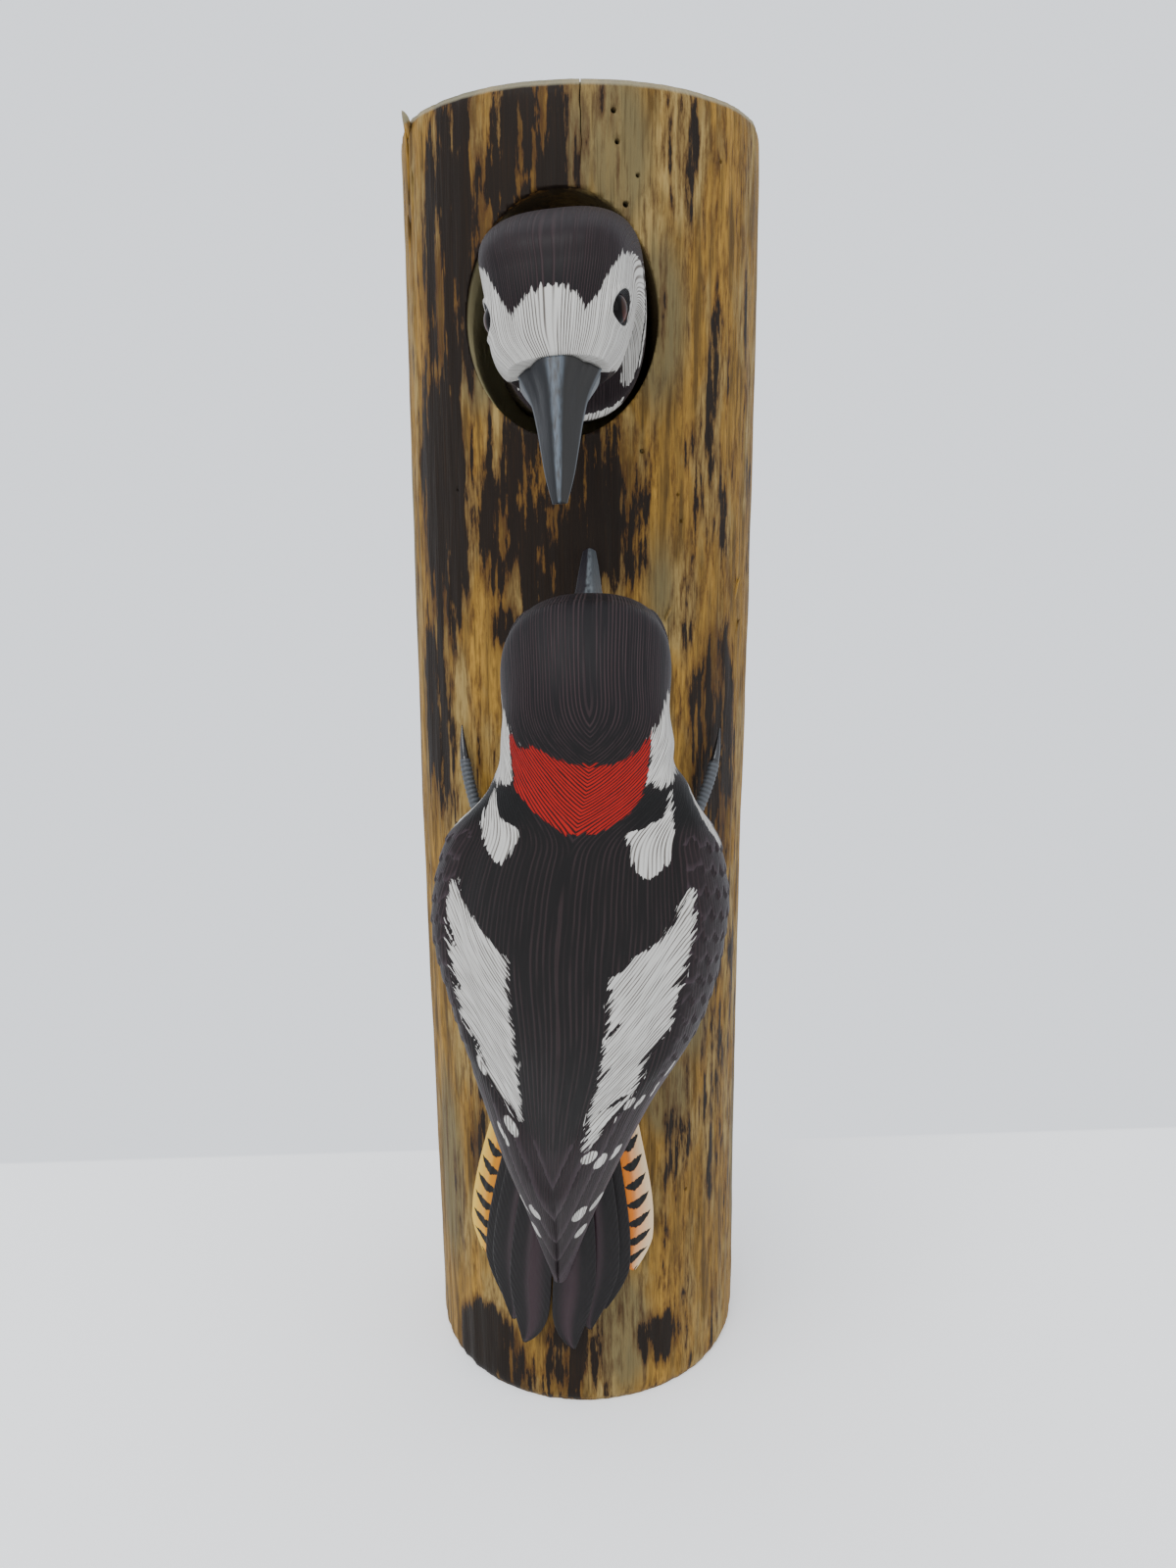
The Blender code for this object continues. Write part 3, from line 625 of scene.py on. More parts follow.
def add_eye(name, eye, sign, base, pitch, pose, material):
    """A glass eye that looks out to the side, with its clear front a little fuller."""
    bm = bmesh.new()
    verts, down, turn = new_sphere(bm, 48, 40)
    polar = down * math.pi
    radius = EYE_RADIUS + EYE_BULGE * np.exp(-((polar / 0.6) ** 2))
    x = sign * (eye[0] + np.cos(polar) * radius)
    y = -eye[1] + np.sin(polar) * np.sin(turn) * radius
    z = eye[2] + np.sin(polar) * np.cos(turn) * radius
    place(verts, pose(to_head(np.stack([x, y, z], axis=-1), base, pitch)))
    fields = {"from_pupil": np.degrees(polar), "lower": -np.sin(polar) * np.cos(turn)}
    return add_piece(name, bm, material, [name], fields)


LOG_RADIUS = 45.7
LOG_WAVE = 0.55
LOG_HEIGHT = 340.0
TOE_RADIUS = 1.6
TOE_END_RADIUS = 1.3
TOE_RING_PITCH = 1.15
CLAW_FROM = 0.70
# A foot's hub: degrees round the log, height, and how far out its outer front toe ends.
FEET = {"left": (-31.0, 165.0, 10.5), "right": (31.5, 163.0, 18.5)}
OUTER_FRONT_RISE = 28.5
# Where the other toes end: degrees outwards and millimetres up from the hub.
TOES = {"inner_front": (-9, 21), "outer_back": (15, 2), "inner_back": (3, -13)}
HEEL = (11.0, -53.5, 141.0)


def on_log(azimuth, z, lift):
    """Points at a lift over the log's side."""
    turn = np.radians(azimuth)
    radius = LOG_RADIUS + LOG_WAVE + lift
    return np.stack([radius * np.sin(turn), -radius * np.cos(turn), z + 0 * turn], axis=-1)


def draw_limb(bm, path, radius_at, columns, rows, claw_at):
    """A round limb along path(share), with domed ends; claw_at(share) is written on it."""
    verts, down, turn = new_sphere(bm, columns, rows)
    share = smooth_between(0.0, 1.0, down) * 0.15 + down * 0.85
    here = path(share)
    ahead = path(np.minimum(share + 0.01, 1.0)) - path(np.maximum(share - 0.01, 0.0))
    ahead /= np.linalg.norm(ahead, axis=1, keepdims=True)
    side = np.cross(ahead, np.array([0.0, -1.0, 0.0]))
    side /= np.linalg.norm(side, axis=1, keepdims=True)
    rise = np.cross(side, ahead)
    near_end = np.clip(1 - np.minimum(down, 1 - down) * rows / 3, 0, 1)
    dome = np.sqrt(np.clip(1 - near_end**2, 0, 1))
    radial = side * np.sin(turn)[:, None] + rise * np.cos(turn)[:, None]
    place(verts, here + radial * (radius_at(share) * dome)[:, None])
    layer = bm.verts.layers.float_vector["claw"]
    for vertex, values in zip(verts, claw_at(share).tolist()):
        vertex[layer] = values


def draw_toe(bm, azimuth, height, outwards, upwards):
    """A ringed toe that lies on the log from its hub, and ends in a claw."""
    length = math.hypot(outwards * 0.8, upwards)

    def path(share):
        lift = (TOE_RADIUS + 0.3) * (1 - share**3) + 0.9 * np.sin(math.pi * share)
        lift += share * 0.5
        return on_log(azimuth + outwards * share, height + upwards * share, lift)

    def thickness(share):
        flesh = TOE_RADIUS + (TOE_END_RADIUS - TOE_RADIUS) * share
        flesh = flesh * (1 + 0.06 * np.cos(share * length * 2 * math.pi / TOE_RING_PITCH))
        claw = 0.95 * (1 - smooth_between(CLAW_FROM, 1.05, share)) + 0.15
        return flesh + (claw - flesh) * smooth_between(CLAW_FROM - 0.02, CLAW_FROM + 0.03, share)

    def rings(share):
        return np.stack([(share - CLAW_FROM) * length, share * length, share * 0], axis=-1)

    draw_limb(bm, path, thickness, 20, 120, rings)


def add_foot(side, sign, material):
    """A cast foot: its shank, and four ringed toes that end in black claws."""
    azimuth, height, front = FEET[side]
    bm = bmesh.new()
    bm.verts.layers.float_vector.new("claw")
    heel = clinging_pose(np.array([[sign * HEEL[0], HEEL[1], HEEL[2]]]))[0]
    hub = on_log(np.array(azimuth), np.array(height), TOE_RADIUS + 0.35)

    def shank(share):
        return heel + (hub - heel) * share[:, None]

    def shank_rings(share):
        return np.stack([share * 0 - 5.0, share * 20, share * 0], axis=-1)

    draw_limb(bm, shank, lambda share: 1.9 + 0.4 * share, 20, 24, shank_rings)
    for outwards, upwards in ((front, OUTER_FRONT_RISE), *TOES.values()):
        draw_toe(bm, azimuth, height, sign * outwards, upwards)
    return add_piece("foot_" + side, bm, material, ["foot_" + side])


# ---------------------------------------------------------------- the tail

# Each feather: its two edges at the root and at its widest, where its tip is, how high its
# root and tip are, its layer behind the one before, and how far down it is widest.
TAIL_FEATHERS = {
    "inner": (0.2, 5.5, 0.2, 11.5, 7.0, 104.0, 20.0, 0, 0.7),
    "second": (3.0, 9.5, 6.0, 17.0, 10.8, 104.0, 26.5, 1, 0.7),
    "third": (5.0, 11.5, 10.0, 19.6, 14.0, 104.0, 33.0, 2, 0.78),
    "barred": (9.5, 14.8, 16.5, 24.5, 20.6, 112.0, 46.0, 3, 0.82),
}
TAIL_SHIFT = -1.4
TAIL_STRETCH = {"left": -1.05, "right": 1.0}
# The tail's face slopes from one y and z to another, and is arched to this radius.
TAIL_ROOT_Y, TAIL_HIGH_Z = -66.0, 79.0
TAIL_TIP_Y, TAIL_LOW_Z = -48.6, 20.0
TAIL_ARCH = 52.0
TAIL_THICK = 1.3
TAIL_GAP = 0.45


def add_tail_feather(name, stretch, sizes, material):
    """A carved tail feather: a thin vane that narrows to its tip, with a raised shaft."""
    root_in, root_out, wide_in, wide_out, tip_x, root_z, tip_z, layer, widest = sizes
    bm = bmesh.new()
    verts, share, turn = new_sphere(bm, 64, 120)
    across, face = np.sin(turn), np.cos(turn)
    down = np.clip(share * 1.02 - 0.01, 0, 1)
    spread = smooth_between(-0.2, widest, down)
    point = np.clip((down - widest) / (1 - widest), 0, None)
    low = root_in + (wide_in - root_in) * spread
    high = root_out + (wide_out - root_out) * spread
    low += (tip_x - 0.3 - low) * point**4
    high += (tip_x + 0.3 - high) * point**1.5
    width = 0.5 + 0.5 * across
    x = low + (high - low) * width
    z = root_z + (tip_z - root_z) * down
    fall = (TAIL_HIGH_Z - z) / (TAIL_HIGH_Z - TAIL_LOW_Z)
    y = TAIL_ROOT_Y + (TAIL_TIP_Y - TAIL_ROOT_Y) * fall + x * x / (2 * TAIL_ARCH)
    y += layer * (TAIL_THICK + TAIL_GAP) + 0.5 * TAIL_THICK
    closing = np.interp(share, [0, 0.02, 0.97, 1], [0, 1, 1, 0.15])
    y -= 0.5 * TAIL_THICK * np.sign(face) * np.abs(face) ** 0.45 * closing
    shaft = np.exp(-(((width - 0.5) / 0.07) ** 2)) * (1 - down) ** 0.3
    grooves = 0.05 * np.sin((width * 9 + down * 26) * 2 * math.pi)
    carving = 0.45 * shaft - 0.35 * (1 - (2 * width - 1) ** 2) + grooves
    y -= np.where(face > 0, carving, 0.0)
    points = np.stack([x * stretch + TAIL_SHIFT, y, z], axis=-1)
    place(verts, clinging_pose(points))
    vane = np.stack([2 * width - 1, root_z - z, (high - low) * 0.5], axis=-1)
    return add_piece(name, bm, material, [name], {"vane": vane})


# ---------------------------------------------------------------- the log

LOG_COLUMNS = 380
LOG_ROWS = 220
HOLE_X = -4.3
HOLE_Z = 290.8
HOLE_RADIUS = 25.0
HOLE_STRETCH = (0.91, 1.0, 1.09)
HOLE_FRONT_Y = -62.0
HOLE_BACK_Y = 8.0
# The drying crack's cutter starts above the top and ends this far below it.
CRACK_ABOVE, CRACK_LENGTH = 5.0, 19.0
# Stains left by bark and damp: degrees round from the front, height, half width, half height.
DARK_STAINS = (
    (-39, 336, 6, 8), (-13, 327, 8, 18), (-43, 303, 11, 27), (-27, 316, 7, 9), (-7, 247, 13, 28),
    (-50, 250, 10, 32), (-25, 243, 5, 14), (12, 246, 4, 12), (-23, 219, 5, 5), (-57, 197, 5, 21),
    (50, 182, 9, 33), (-38, 8, 14, 14), (27, 17, 5, 6), (-41, 72, 2.6, 8), (-7, 15, 6, 12),
    (100, 290, 9, 30), (120, 180, 12, 45), (150, 60, 10, 30), (170, 250, 12, 50),
    (-100, 120, 11, 50), (-120, 270, 12, 35), (-150, 40, 10, 25), (-165, 190, 8, 30),
)
# Brown stains on the log's right side, in the same columns. The one at 56 degrees and 89 mm, beside
# the clinging bird's body, is a painted shadow of the bird.
BROWN_STAINS_AND_SHADOW = (
    (38, 290, 7, 52), (50, 240, 5, 30), (56, 89, 9, 56), (36, 56, 4, 24), (66, 235, 6, 30),
    (60, 310, 3, 20),
)
OLIVE_STAINS = (
    (-1, 325, 5, 16), (12, 325, 8, 18), (-32, 284, 9, 14), (24, 290, 8, 20), (30, 92, 8, 12),
    (26, 228, 4, 12), (13, 21, 8, 19), (40, 120, 9, 22), (90, 60, 14, 40), (140, 300, 16, 40),
    (-90, 230, 12, 40), (-140, 130, 16, 50), (-60, 60, 8, 30),
)
# Worm holes: degrees round, height and radius.
WORM_HOLES = (
    (9.9, 333.6, 0.75), (11.0, 327.3, 0.7), (17.1, 320.6, 0.6), (13.6, 314.5, 0.85),
    (46.7, 326.6, 0.6), (18.9, 260.6, 0.65), (32.7, 244.2, 0.6), (31.3, 250.5, 0.5),
    (-42.0, 252.0, 0.5), (38.0, 61.0, 0.6), (-70.0, 150.0, 0.6), (120.0, 220.0, 0.7),
    (-130.0, 180.0, 0.6),
)
# Splinters: degrees round, height, length, width and lift.
SPLINTERS = (
    (-66, 338.5, 3.0, 5.0, 1.6), (-68, 330.0, 9.0, 2.0, 0.8), (-69, 314.0, 5.0, 1.2, 0.6),
    (-64, 322.0, 7.0, 0.9, 0.6), (62, 226.0, 4.0, 1.2, 1.0), (63, 216.0, 3.0, 1.0, 0.9),
    (28, 222.0, 2.2, 0.8, 1.2),
)


def log_radius(turn, z):
    """The log is a little out of round, and differently so up its length."""
    wave = np.cos(2 * turn + 0.012 * z) + 0.6 * np.cos(3 * turn - 0.02 * z + 1.0)
    wave += 0.5 * np.sin(0.021 * z + turn)
    return LOG_RADIUS + LOG_WAVE * wave * 0.6


def stain_reach(stains, turn, z):
    """How far inside the nearest stain a point is, in millimetres."""
    degrees, reach = np.degrees(turn), np.full_like(z, -30.0)
    for where, height, half_width, half_height in stains:
        around = np.mod(degrees - where + 180.0, 360.0) - 180.0
        aside = np.radians(around) * LOG_RADIUS / half_width
        away = np.hypot(aside, (z - height) / half_height)
        reach = np.maximum(reach, (1 - away) * half_width)
    return reach


def fibre_relief(turn, z):
    """The weathered surface: fibres that run up the log, from noise stretched along it."""
    relief = np.empty_like(z)
    places = zip(np.sin(turn).tolist(), np.cos(turn).tolist(), z.tolist())
    for index, (x, y, height) in enumerate(places):
        spot = Vector((x * 16.0, y * 16.0, height * 0.030))
        fine = Vector((x * 42.0, y * 42.0, height * 0.07))
        relief[index] = 0.30 * noise.noise(spot) + 0.16 * noise.noise(fine)
    return relief


def drill(bm, centre, inner_radius, radius, depth, segments):
    """A round cutter across the log, at the place and turn of centre."""
    bmesh.ops.create_cone(
        bm,
        cap_ends=True,
        segments=segments,
        radius1=inner_radius,
        radius2=radius,
        depth=depth,
        matrix=centre @ Matrix.Rotation(math.pi / 2, 4, "X"),
    )


def add_crack(bm):
    """A thin wedge that wanders down the front from the top edge, where the log dried out."""
    verts, down, turn = new_sphere(bm, 12, 24)
    z = LOG_HEIGHT + CRACK_ABOVE - (CRACK_ABOVE + CRACK_LENGTH) * down
    width = 0.17 * np.sqrt(np.clip(1 - down, 0, 1)) * np.minimum(1, down * 24)
    x = 0.5 + 0.12 * np.sin(z * 0.35) + 0.08 * np.sin(z * 1.1) + width * np.sin(turn)
    y = -46.0 + 4.0 * np.cos(turn) * (1 - down)
    place(verts, np.stack([x, y, z], axis=-1), 1)


def as_helper(name, bm):
    """A closed mesh drawn in millimetres, as an object that is taken away again later."""
    bmesh.ops.recalc_face_normals(bm, faces=bm.faces)
    bmesh.ops.scale(bm, vec=(MM, MM, MM), verts=bm.verts)
    return as_object(name, bm)


def hole_cutters():
    """The nest hole, the worm holes and the drying crack at the top, as one cutter."""
    bm = bmesh.new()
    for azimuth, z, radius in WORM_HOLES:
        centre = on_log(np.array(azimuth), np.array(z), -2.0)
        turn = Matrix.Rotation(math.radians(azimuth), 4, "Z")
        spot = Matrix.Translation(Vector(centre.tolist())) @ turn
        drill(bm, spot, radius * 0.7, radius, 6.0, 12)
    middle = Matrix.Translation((HOLE_X, 0.5 * (HOLE_BACK_Y + HOLE_FRONT_Y), HOLE_Z))
    spot = middle @ Matrix.Diagonal((*HOLE_STRETCH, 1.0))
    drill(bm, spot, HOLE_RADIUS, HOLE_RADIUS, HOLE_BACK_Y - HOLE_FRONT_Y, 160)
    add_crack(bm)
    return as_helper("hole_cutters", bm)


def close_end(bm, top):
    """Fill an end of the log with rings that follow its edge. The top is a little dished."""
    level = LOG_HEIGHT if top else 0.0
    rim = [edge for edge in bm.edges if edge.is_boundary and abs(edge.verts[0].co.z - level) < 0.1]
    for share in (0.93, 0.8, 0.6, 0.4, 0.2, 0.07):
        grown = bmesh.ops.extrude_edge_only(bm, edges=rim)["geom"]
        rim = [item for item in grown if isinstance(item, bmesh.types.BMEdge)]
        for vertex in {vertex for edge in rim for vertex in edge.verts}:
            flat = vertex.co.xy.normalized() * LOG_RADIUS * share
            dish = 0.12 * noise.noise(Vector((flat.x * 0.3, flat.y * 0.3, 0.0)))
            vertex.co = Vector((flat.x, flat.y, level + (dish - 0.15 if top else 0.1)))
    bmesh.ops.holes_fill(bm, edges=rim, sides=0)


def uncut_log():
    """The log before its holes: a sheet rolled into a tube, fibrous, with worn edges."""
    bm = bmesh.new()
    bmesh.ops.create_grid(bm, x_segments=LOG_COLUMNS, y_segments=LOG_ROWS, size=1.0)
    co = points_of(bm.verts)
    turn = co[:, 0] * math.pi
    turn = np.where(turn > math.pi - 1e-6, -math.pi, turn)
    z = (co[:, 1] * 0.5 + 0.5) * LOG_HEIGHT
    worn = 0.9 * np.exp(-((LOG_HEIGHT - z) / 1.1)) + 0.9 * np.exp(-z / 1.3)
    radius = log_radius(turn, z) + fibre_relief(turn, z) - worn
    place(bm.verts, np.stack([radius * np.sin(turn), -radius * np.cos(turn), z], axis=-1), 1)
    bmesh.ops.remove_doubles(bm, verts=bm.verts, dist=0.01)
    for top in (True, False):
        close_end(bm, top)
    return as_helper("log_uncut", bm)


def add_log(material):
    """A length of debarked log: fibrous sides, sawn ends with worn edges, and a nest hole."""
    uncut, cutter = uncut_log(), hole_cutters()
    cut = uncut.modifiers.new("holes", "BOOLEAN")
    cut.operation, cut.solver, cut.object = "DIFFERENCE", "EXACT", cutter
    bm = bmesh.new()
    bm.from_object(uncut, bpy.context.evaluated_depsgraph_get())
    for helper in (uncut, cutter):
        bpy.data.objects.remove(helper)
    bmesh.ops.triangulate(bm, faces=[face for face in bm.faces if len(face.verts) > 4])
    co = points_of(bm.verts) / MM
    turn, z = np.arctan2(co[:, 0], -co[:, 1]), co[:, 2]
    depth = log_radius(turn, z) - np.hypot(co[:, 0], co[:, 1])
    # The brown stains, with the painted shadow of the clinging bird among them, stop short of the
    # reach at which a stain is black.
    brown = np.minimum(stain_reach(BROWN_STAINS_AND_SHADOW, turn, z), -3.2)
    fields = {
        "around": np.stack([turn * LOG_RADIUS, z, depth], axis=-1),
        "dark_stain_and_shadow": np.maximum(stain_reach(DARK_STAINS, turn, z), brown),
        "olive_stain": stain_reach(OLIVE_STAINS, turn, z),
    }
    return add_piece("log", bm, material, ["log"], fields)


def add_splinters(material):
    """Slivers of wood that stand off the log's edge and sides."""
    bm = bmesh.new()
    for azimuth, height, length, width, lift in SPLINTERS:
        verts, down, turn = new_sphere(bm, 10, 16)
        along = down - 0.5
        body = np.sin(down * math.pi) ** 0.7
        aside = np.degrees(width * 0.5 * np.sin(turn) * body / LOG_RADIUS)
        lean = lift * (0.2 + 1.6 * np.clip(along + 0.3, 0, 1) ** 2)
        out = lean + 0.45 * np.cos(turn) * body
        place(verts, on_log(azimuth + aside + 2.0 * along, height + length * 2 * along, out - 1.0))
    co = points_of(bm.verts) / MM
    turn = np.arctan2(co[:, 0], -co[:, 1])
    clean = np.full(len(co), -8.0)
    around = np.stack([turn * LOG_RADIUS, co[:, 2], co[:, 2] * 0.0], axis=-1)
    fields = {"around": around, "dark_stain_and_shadow": clean, "olive_stain": clean}
    return add_piece("log_splinters", bm, material, ["log"], fields)


# ---------------------------------------------------------------- materials

# At scale 1 a wave texture's bands are this far apart.
WAVE_PITCH = 0.314
# Sizes of the real patterns: burnt lines, strands of paint, bars on the tail, growth rings.
GROOVE_PITCH = 0.7
STRAND_WIDTH, STRAND_LENGTH = 0.55, 7.0
TAIL_BAR_PITCH = 6.7
GROWTH_RING_PITCH = 2.2


def linear(code):
    """An sRGB hex colour, as linear red, green, blue and alpha."""
    parts = [int(code[i : i + 2], 16) / 255 for i in (1, 3, 5)]
    return (*(p / 12.92 if p <= 0.04045 else ((p + 0.055) / 1.055) ** 2.4 for p in parts), 1.0)


def add(tree, kind, inputs=(), **settings):
    """Add a node with its settings. Each input is a value, a hex colour, a socket, or a node,
    which gives its first output in use."""
    node = tree.nodes.new("ShaderNode" + kind)
    for name, value in settings.items():
        setattr(node, name, value)
    for name, value in inputs.items() if isinstance(inputs, dict) else enumerate(inputs):
        if isinstance(value, bpy.types.Node):
            value = next(socket for socket in value.outputs if socket.enabled)
        if isinstance(value, bpy.types.NodeSocket):
            tree.links.new(value, node.inputs[name])
        else:
            node.inputs[name].default_value = linear(value) if isinstance(value, str) else value
    return node


def new_material(name):
    material = bpy.data.materials.new(name)
    material.use_nodes = True
    material.node_tree.nodes.clear()
    return material, material.node_tree


def finish_material(material, inputs):
    """Give a material its shader, with these inputs."""
    shader = add(material.node_tree, "BsdfPrincipled", inputs)
    add(material.node_tree, "OutputMaterial", (shader,))
    return material


def barb_grooves(tree, barbs):
    """Strands of noise along the barbs, the burnt-in hair lines, and how deep these are, which
    is nothing where the burning tip was lifted."""
    strand_space = (barbs, (1 / STRAND_WIDTH, 1 / STRAND_LENGTH, 1))
    strands = add(tree, "VectorMath", strand_space, operation="MULTIPLY")
    strands = add(tree, "TexNoise", {"Vector": strands, "Scale": 1.0, "Detail": 3.0})
    hair_space = add(tree, "VectorMath", (barbs, (1, 0.05, 1)), operation="MULTIPLY")
    wave = {"Vector": hair_space, "Scale": WAVE_PITCH / GROOVE_PITCH, "Distortion": 3.6}
    wave = {**wave, "Detail": 3.0, "Detail Scale": 1.1}
    wave = add(tree, "TexWave", wave, bands_direction="X").outputs["Fac"]
    line = add(tree, "MapRange", (wave, 0.5, 0.95))
    length = add(tree, "TexNoise", {"Vector": hair_space, "Scale": 1.1, "Detail": 1.0})
    broken = add(tree, "MapRange", (length, 0.32, 0.56))
    return strands, wave, add(tree, "Math", (line, broken), operation="MULTIPLY")


def painted_barbs():
    """Carved lime wood in acrylic paint. The burnt-in barbs give it fine dull lines, paler on black
    and browner on white, and its painted edges are as ragged as feathers. A painted highlight runs
    along the feathers' tips."""
    material, tree = new_material("painted_lime_wood_barbs")
    fields = {}
    for name in ("barbs", "patch_barbs", "tint"):
        fields[name] = add(tree, "Attribute", attribute_name=name).outputs["Vector"]
    for name in ("white", "scapular", "red", "spot", "feather_tip", "eye_gap"):
        fields[name] = add(tree, "Attribute", attribute_name=name).outputs["Fac"]
    on_patch = add(tree, "Math", (fields["scapular"], -0.8), operation="GREATER_THAN")
    barbs = {0: on_patch, 4: fields["barbs"], 5: fields["patch_barbs"]}
    barbs = add(tree, "Mix", barbs, data_type="VECTOR")
    strands, wave, groove = barb_grooves(tree, barbs)
    ragged = add(tree, "MapRange", (strands, 0.3, 0.7, -1.1, 1.1))
    masks = {}
    for name, reach in (("white", 1.0), ("scapular", 1.3), ("red", 0.55), ("spot", 0.0)):
        edge = add(tree, "Math", (ragged, reach, fields[name]), operation="MULTIPLY_ADD")
        masks[name] = add(tree, "MapRange", (edge, -0.08, 0.08))
    crown, brown, collar = add(tree, "SeparateXYZ", (fields["tint"],)).outputs
    pale = add(tree, "MapRange", (crown, 0, 1, 0.26, 0.5))
    hairs = add(tree, "Math", (groove, pale), operation="MULTIPLY")
    # A painted highlight along each feather's tip, palest right at the tip.
    rim = add(tree, "MapRange", (fields["feather_tip"], 0.1, 1.5, 0.5, 0.0))
    stain = add(tree, "Math", (groove, 0.9), operation="MULTIPLY")
    white = add(tree, "Mix", {0: stain, 6: "#adaba6", 7: "#403831"}, data_type="RGBA")
    clumps = add(tree, "Math", (strands, 0.8, wave), operation="MULTIPLY_ADD")
    deep = add(tree, "MapRange", (clumps, 0.8, 1.25, 0.0, 0.95))
    red = add(tree, "Mix", {0: deep, 6: "#8c0a04", 7: "#1a0302"}, data_type="RGBA")
    light = add(tree, "Math", (masks["white"], masks["scapular"]), operation="MAXIMUM")
    light = add(tree, "Math", (light, masks["spot"]), operation="MAXIMUM")
    lid = add(tree, "MapRange", (fields["eye_gap"], 3.45, 3.6, 1.0, 0.0))
    colour = "#0b0808"
    for share, paint in (
        (crown, "#0e0b0d"),
        (brown, "#171012"),
        (hairs, "#402f31"),
        (collar, "#060505"),
        (rim, "#40343a"),
        (light, white),
        (masks["red"], red),
        (lid, "#080606"),
    ):
        colour = add(tree, "Mix", {0: share, 6: colour, 7: paint}, data_type="RGBA")
    rough = add(tree, "MapRange", (strands, 0, 1, 0.46, 0.66))
    lowered = add(tree, "Math", (groove, -1.0), operation="MULTIPLY")
    bump = add(tree, "Bump", {"Height": lowered, "Strength": 0.7, "Distance": 0.14 * MM})
    surface = {"Base Color": colour, "Roughness": rough, "Normal": bump}
    return finish_material(material, {**surface, "Specular IOR Level": 0.16})


def bar_colour(tree, across, down, strands):
    """Orange that pales to cream at the outer edge, under black bars that are thickest
    in the middle and slant down to the inner side."""
    slant = add(tree, "Math", (across, 3.0, down), operation="MULTIPLY_ADD")
    wobble = add(tree, "Math", (strands, 1.4, slant), operation="MULTIPLY_ADD")
    turns = add(tree, "Math", (wobble, TAIL_BAR_PITCH), operation="DIVIDE")
    share = add(tree, "Math", (turns,), operation="FRACT")
    aside = add(tree, "Math", (across, 1.3, -0.12), operation="MULTIPLY_ADD")
    taper = add(tree, "Math", (aside, aside), operation="MULTIPLY")
    thick = add(tree, "Math", (taper, -0.5, 0.52), operation="MULTIPLY_ADD")
    within = add(tree, "Math", (thick, share), operation="SUBTRACT")
    bars = add(tree, "MapRange", (within, 0.0, 0.04))
    outer = add(tree, "MapRange", (across, -0.3, 0.8))
    x = add(tree, "SeparateXYZ", (add(tree, "TexCoord").outputs["Object"],)).outputs[0]
    on_right = add(tree, "Math", (x, 0.0), operation="GREATER_THAN")
    tones = []
    for left, right in (("#b67200", "#be670c"), ("#c6a040", "#c2aa86")):
        tones.append(add(tree, "Mix", {0: on_right, 6: left, 7: right}, data_type="RGBA"))
    pale = add(tree, "Mix", {0: outer, 6: tones[0], 7: tones[1]}, data_type="RGBA")
    return add(tree, "Mix", {0: bars, 6: pale, 7: "#0c0b0a"}, data_type="RGBA")


def sheen_colour(tree, across):
    """Black with a soft purple-brown line of painted sheen along the feather, a painted highlight.
    """
    sides = []
    for outer_edge in (-0.85, 0.45):
        rise = (across, outer_edge, -0.1)
        sides.append(add(tree, "MapRange", rise, interpolation_type="SMOOTHSTEP"))
    # The painted sheen: a paler purple-brown line down the feather.
    painted_sheen = add(tree, "Math", sides, operation="MULTIPLY")
    return add(tree, "Mix", {0: painted_sheen, 6: "#0b0708", 7: "#2a1c21"}, data_type="RGBA")


def painted_tail(name, barred):
    """The same painted lime wood on the tail, smoother and with a duller gloss: black with a line
    of painted sheen along it, or cream and orange with black bars on the outer feathers."""
    material, tree = new_material(name)
    vane = add(tree, "Attribute", attribute_name="vane").outputs["Vector"]
    across, down = add(tree, "SeparateXYZ", (vane,)).outputs[:2]
    space = add(tree, "VectorMath", (vane, (7.0, 0.16, 0)), operation="MULTIPLY")
    strands = add(tree, "TexNoise", {"Vector": space, "Scale": 1.0, "Detail": 3.0})
    colour = bar_colour(tree, across, down, strands) if barred else sheen_colour(tree, across)
    rough = add(tree, "MapRange", (strands, 0, 1, 0.40, 0.6))
    bump = add(tree, "Bump", {"Height": strands, "Strength": 0.4, "Distance": 0.10 * MM})
    surface = {"Base Color": colour, "Roughness": rough, "Normal": bump}
    return finish_material(material, {**surface, "Specular IOR Level": 0.14})


def painted_bill(name, left, right, ridge):
    """Wood sanded smooth and painted slate grey, with a painted highlight along the ridge and one
    side painted darker as shade.
    """
    material, tree = new_material(name)
    facet = add(tree, "Attribute", attribute_name="facet").outputs["Fac"]
    reach = add(tree, "Attribute", attribute_name="reach").outputs["Vector"]
    space = add(tree, "VectorMath", (reach, (1.6, 0.22, 1.6)), operation="MULTIPLY")
    streaks = add(tree, "TexNoise", {"Vector": space, "Scale": 1.0, "Detail": 5.0})
    on_ridge = (facet, 0.10, 0.30, 1.2, 0.0)
    on_ridge = add(tree, "MapRange", on_ridge, interpolation_type="SMOOTHSTEP")
    mottle = add(tree, "MapRange", (streaks, 0.32, 0.68))
    # A painted highlight along the ridge, mottled.
    painted_ridge_highlight = add(tree, "Math", (on_ridge, mottle), operation="MULTIPLY")
    aside = add(tree, "SeparateXYZ", (reach,)).outputs[0]
    # One side of the bill is painted darker than the other, as shade.
    painted_side_shade = add(tree, "MapRange", (aside, -0.6, 0.6))
    edge = add(tree, "MapRange", (facet, 0.94, 0.99, 0.0, 0.6))
    colour = left
    for share, paint in ((painted_side_shade, right), (painted_ridge_highlight, ridge), (edge, "#5a5f64")):
        colour = add(tree, "Mix", {0: share, 6: colour, 7: paint}, data_type="RGBA")
    rough = add(tree, "MapRange", (streaks, 0, 1, 0.32, 0.5))
    bump = add(tree, "Bump", {"Height": streaks, "Strength": 0.5, "Distance": 0.12 * MM})
    surface = {"Base Color": colour, "Roughness": rough, "Normal": bump}
    return finish_material(material, {**surface, "Specular IOR Level": 0.25})


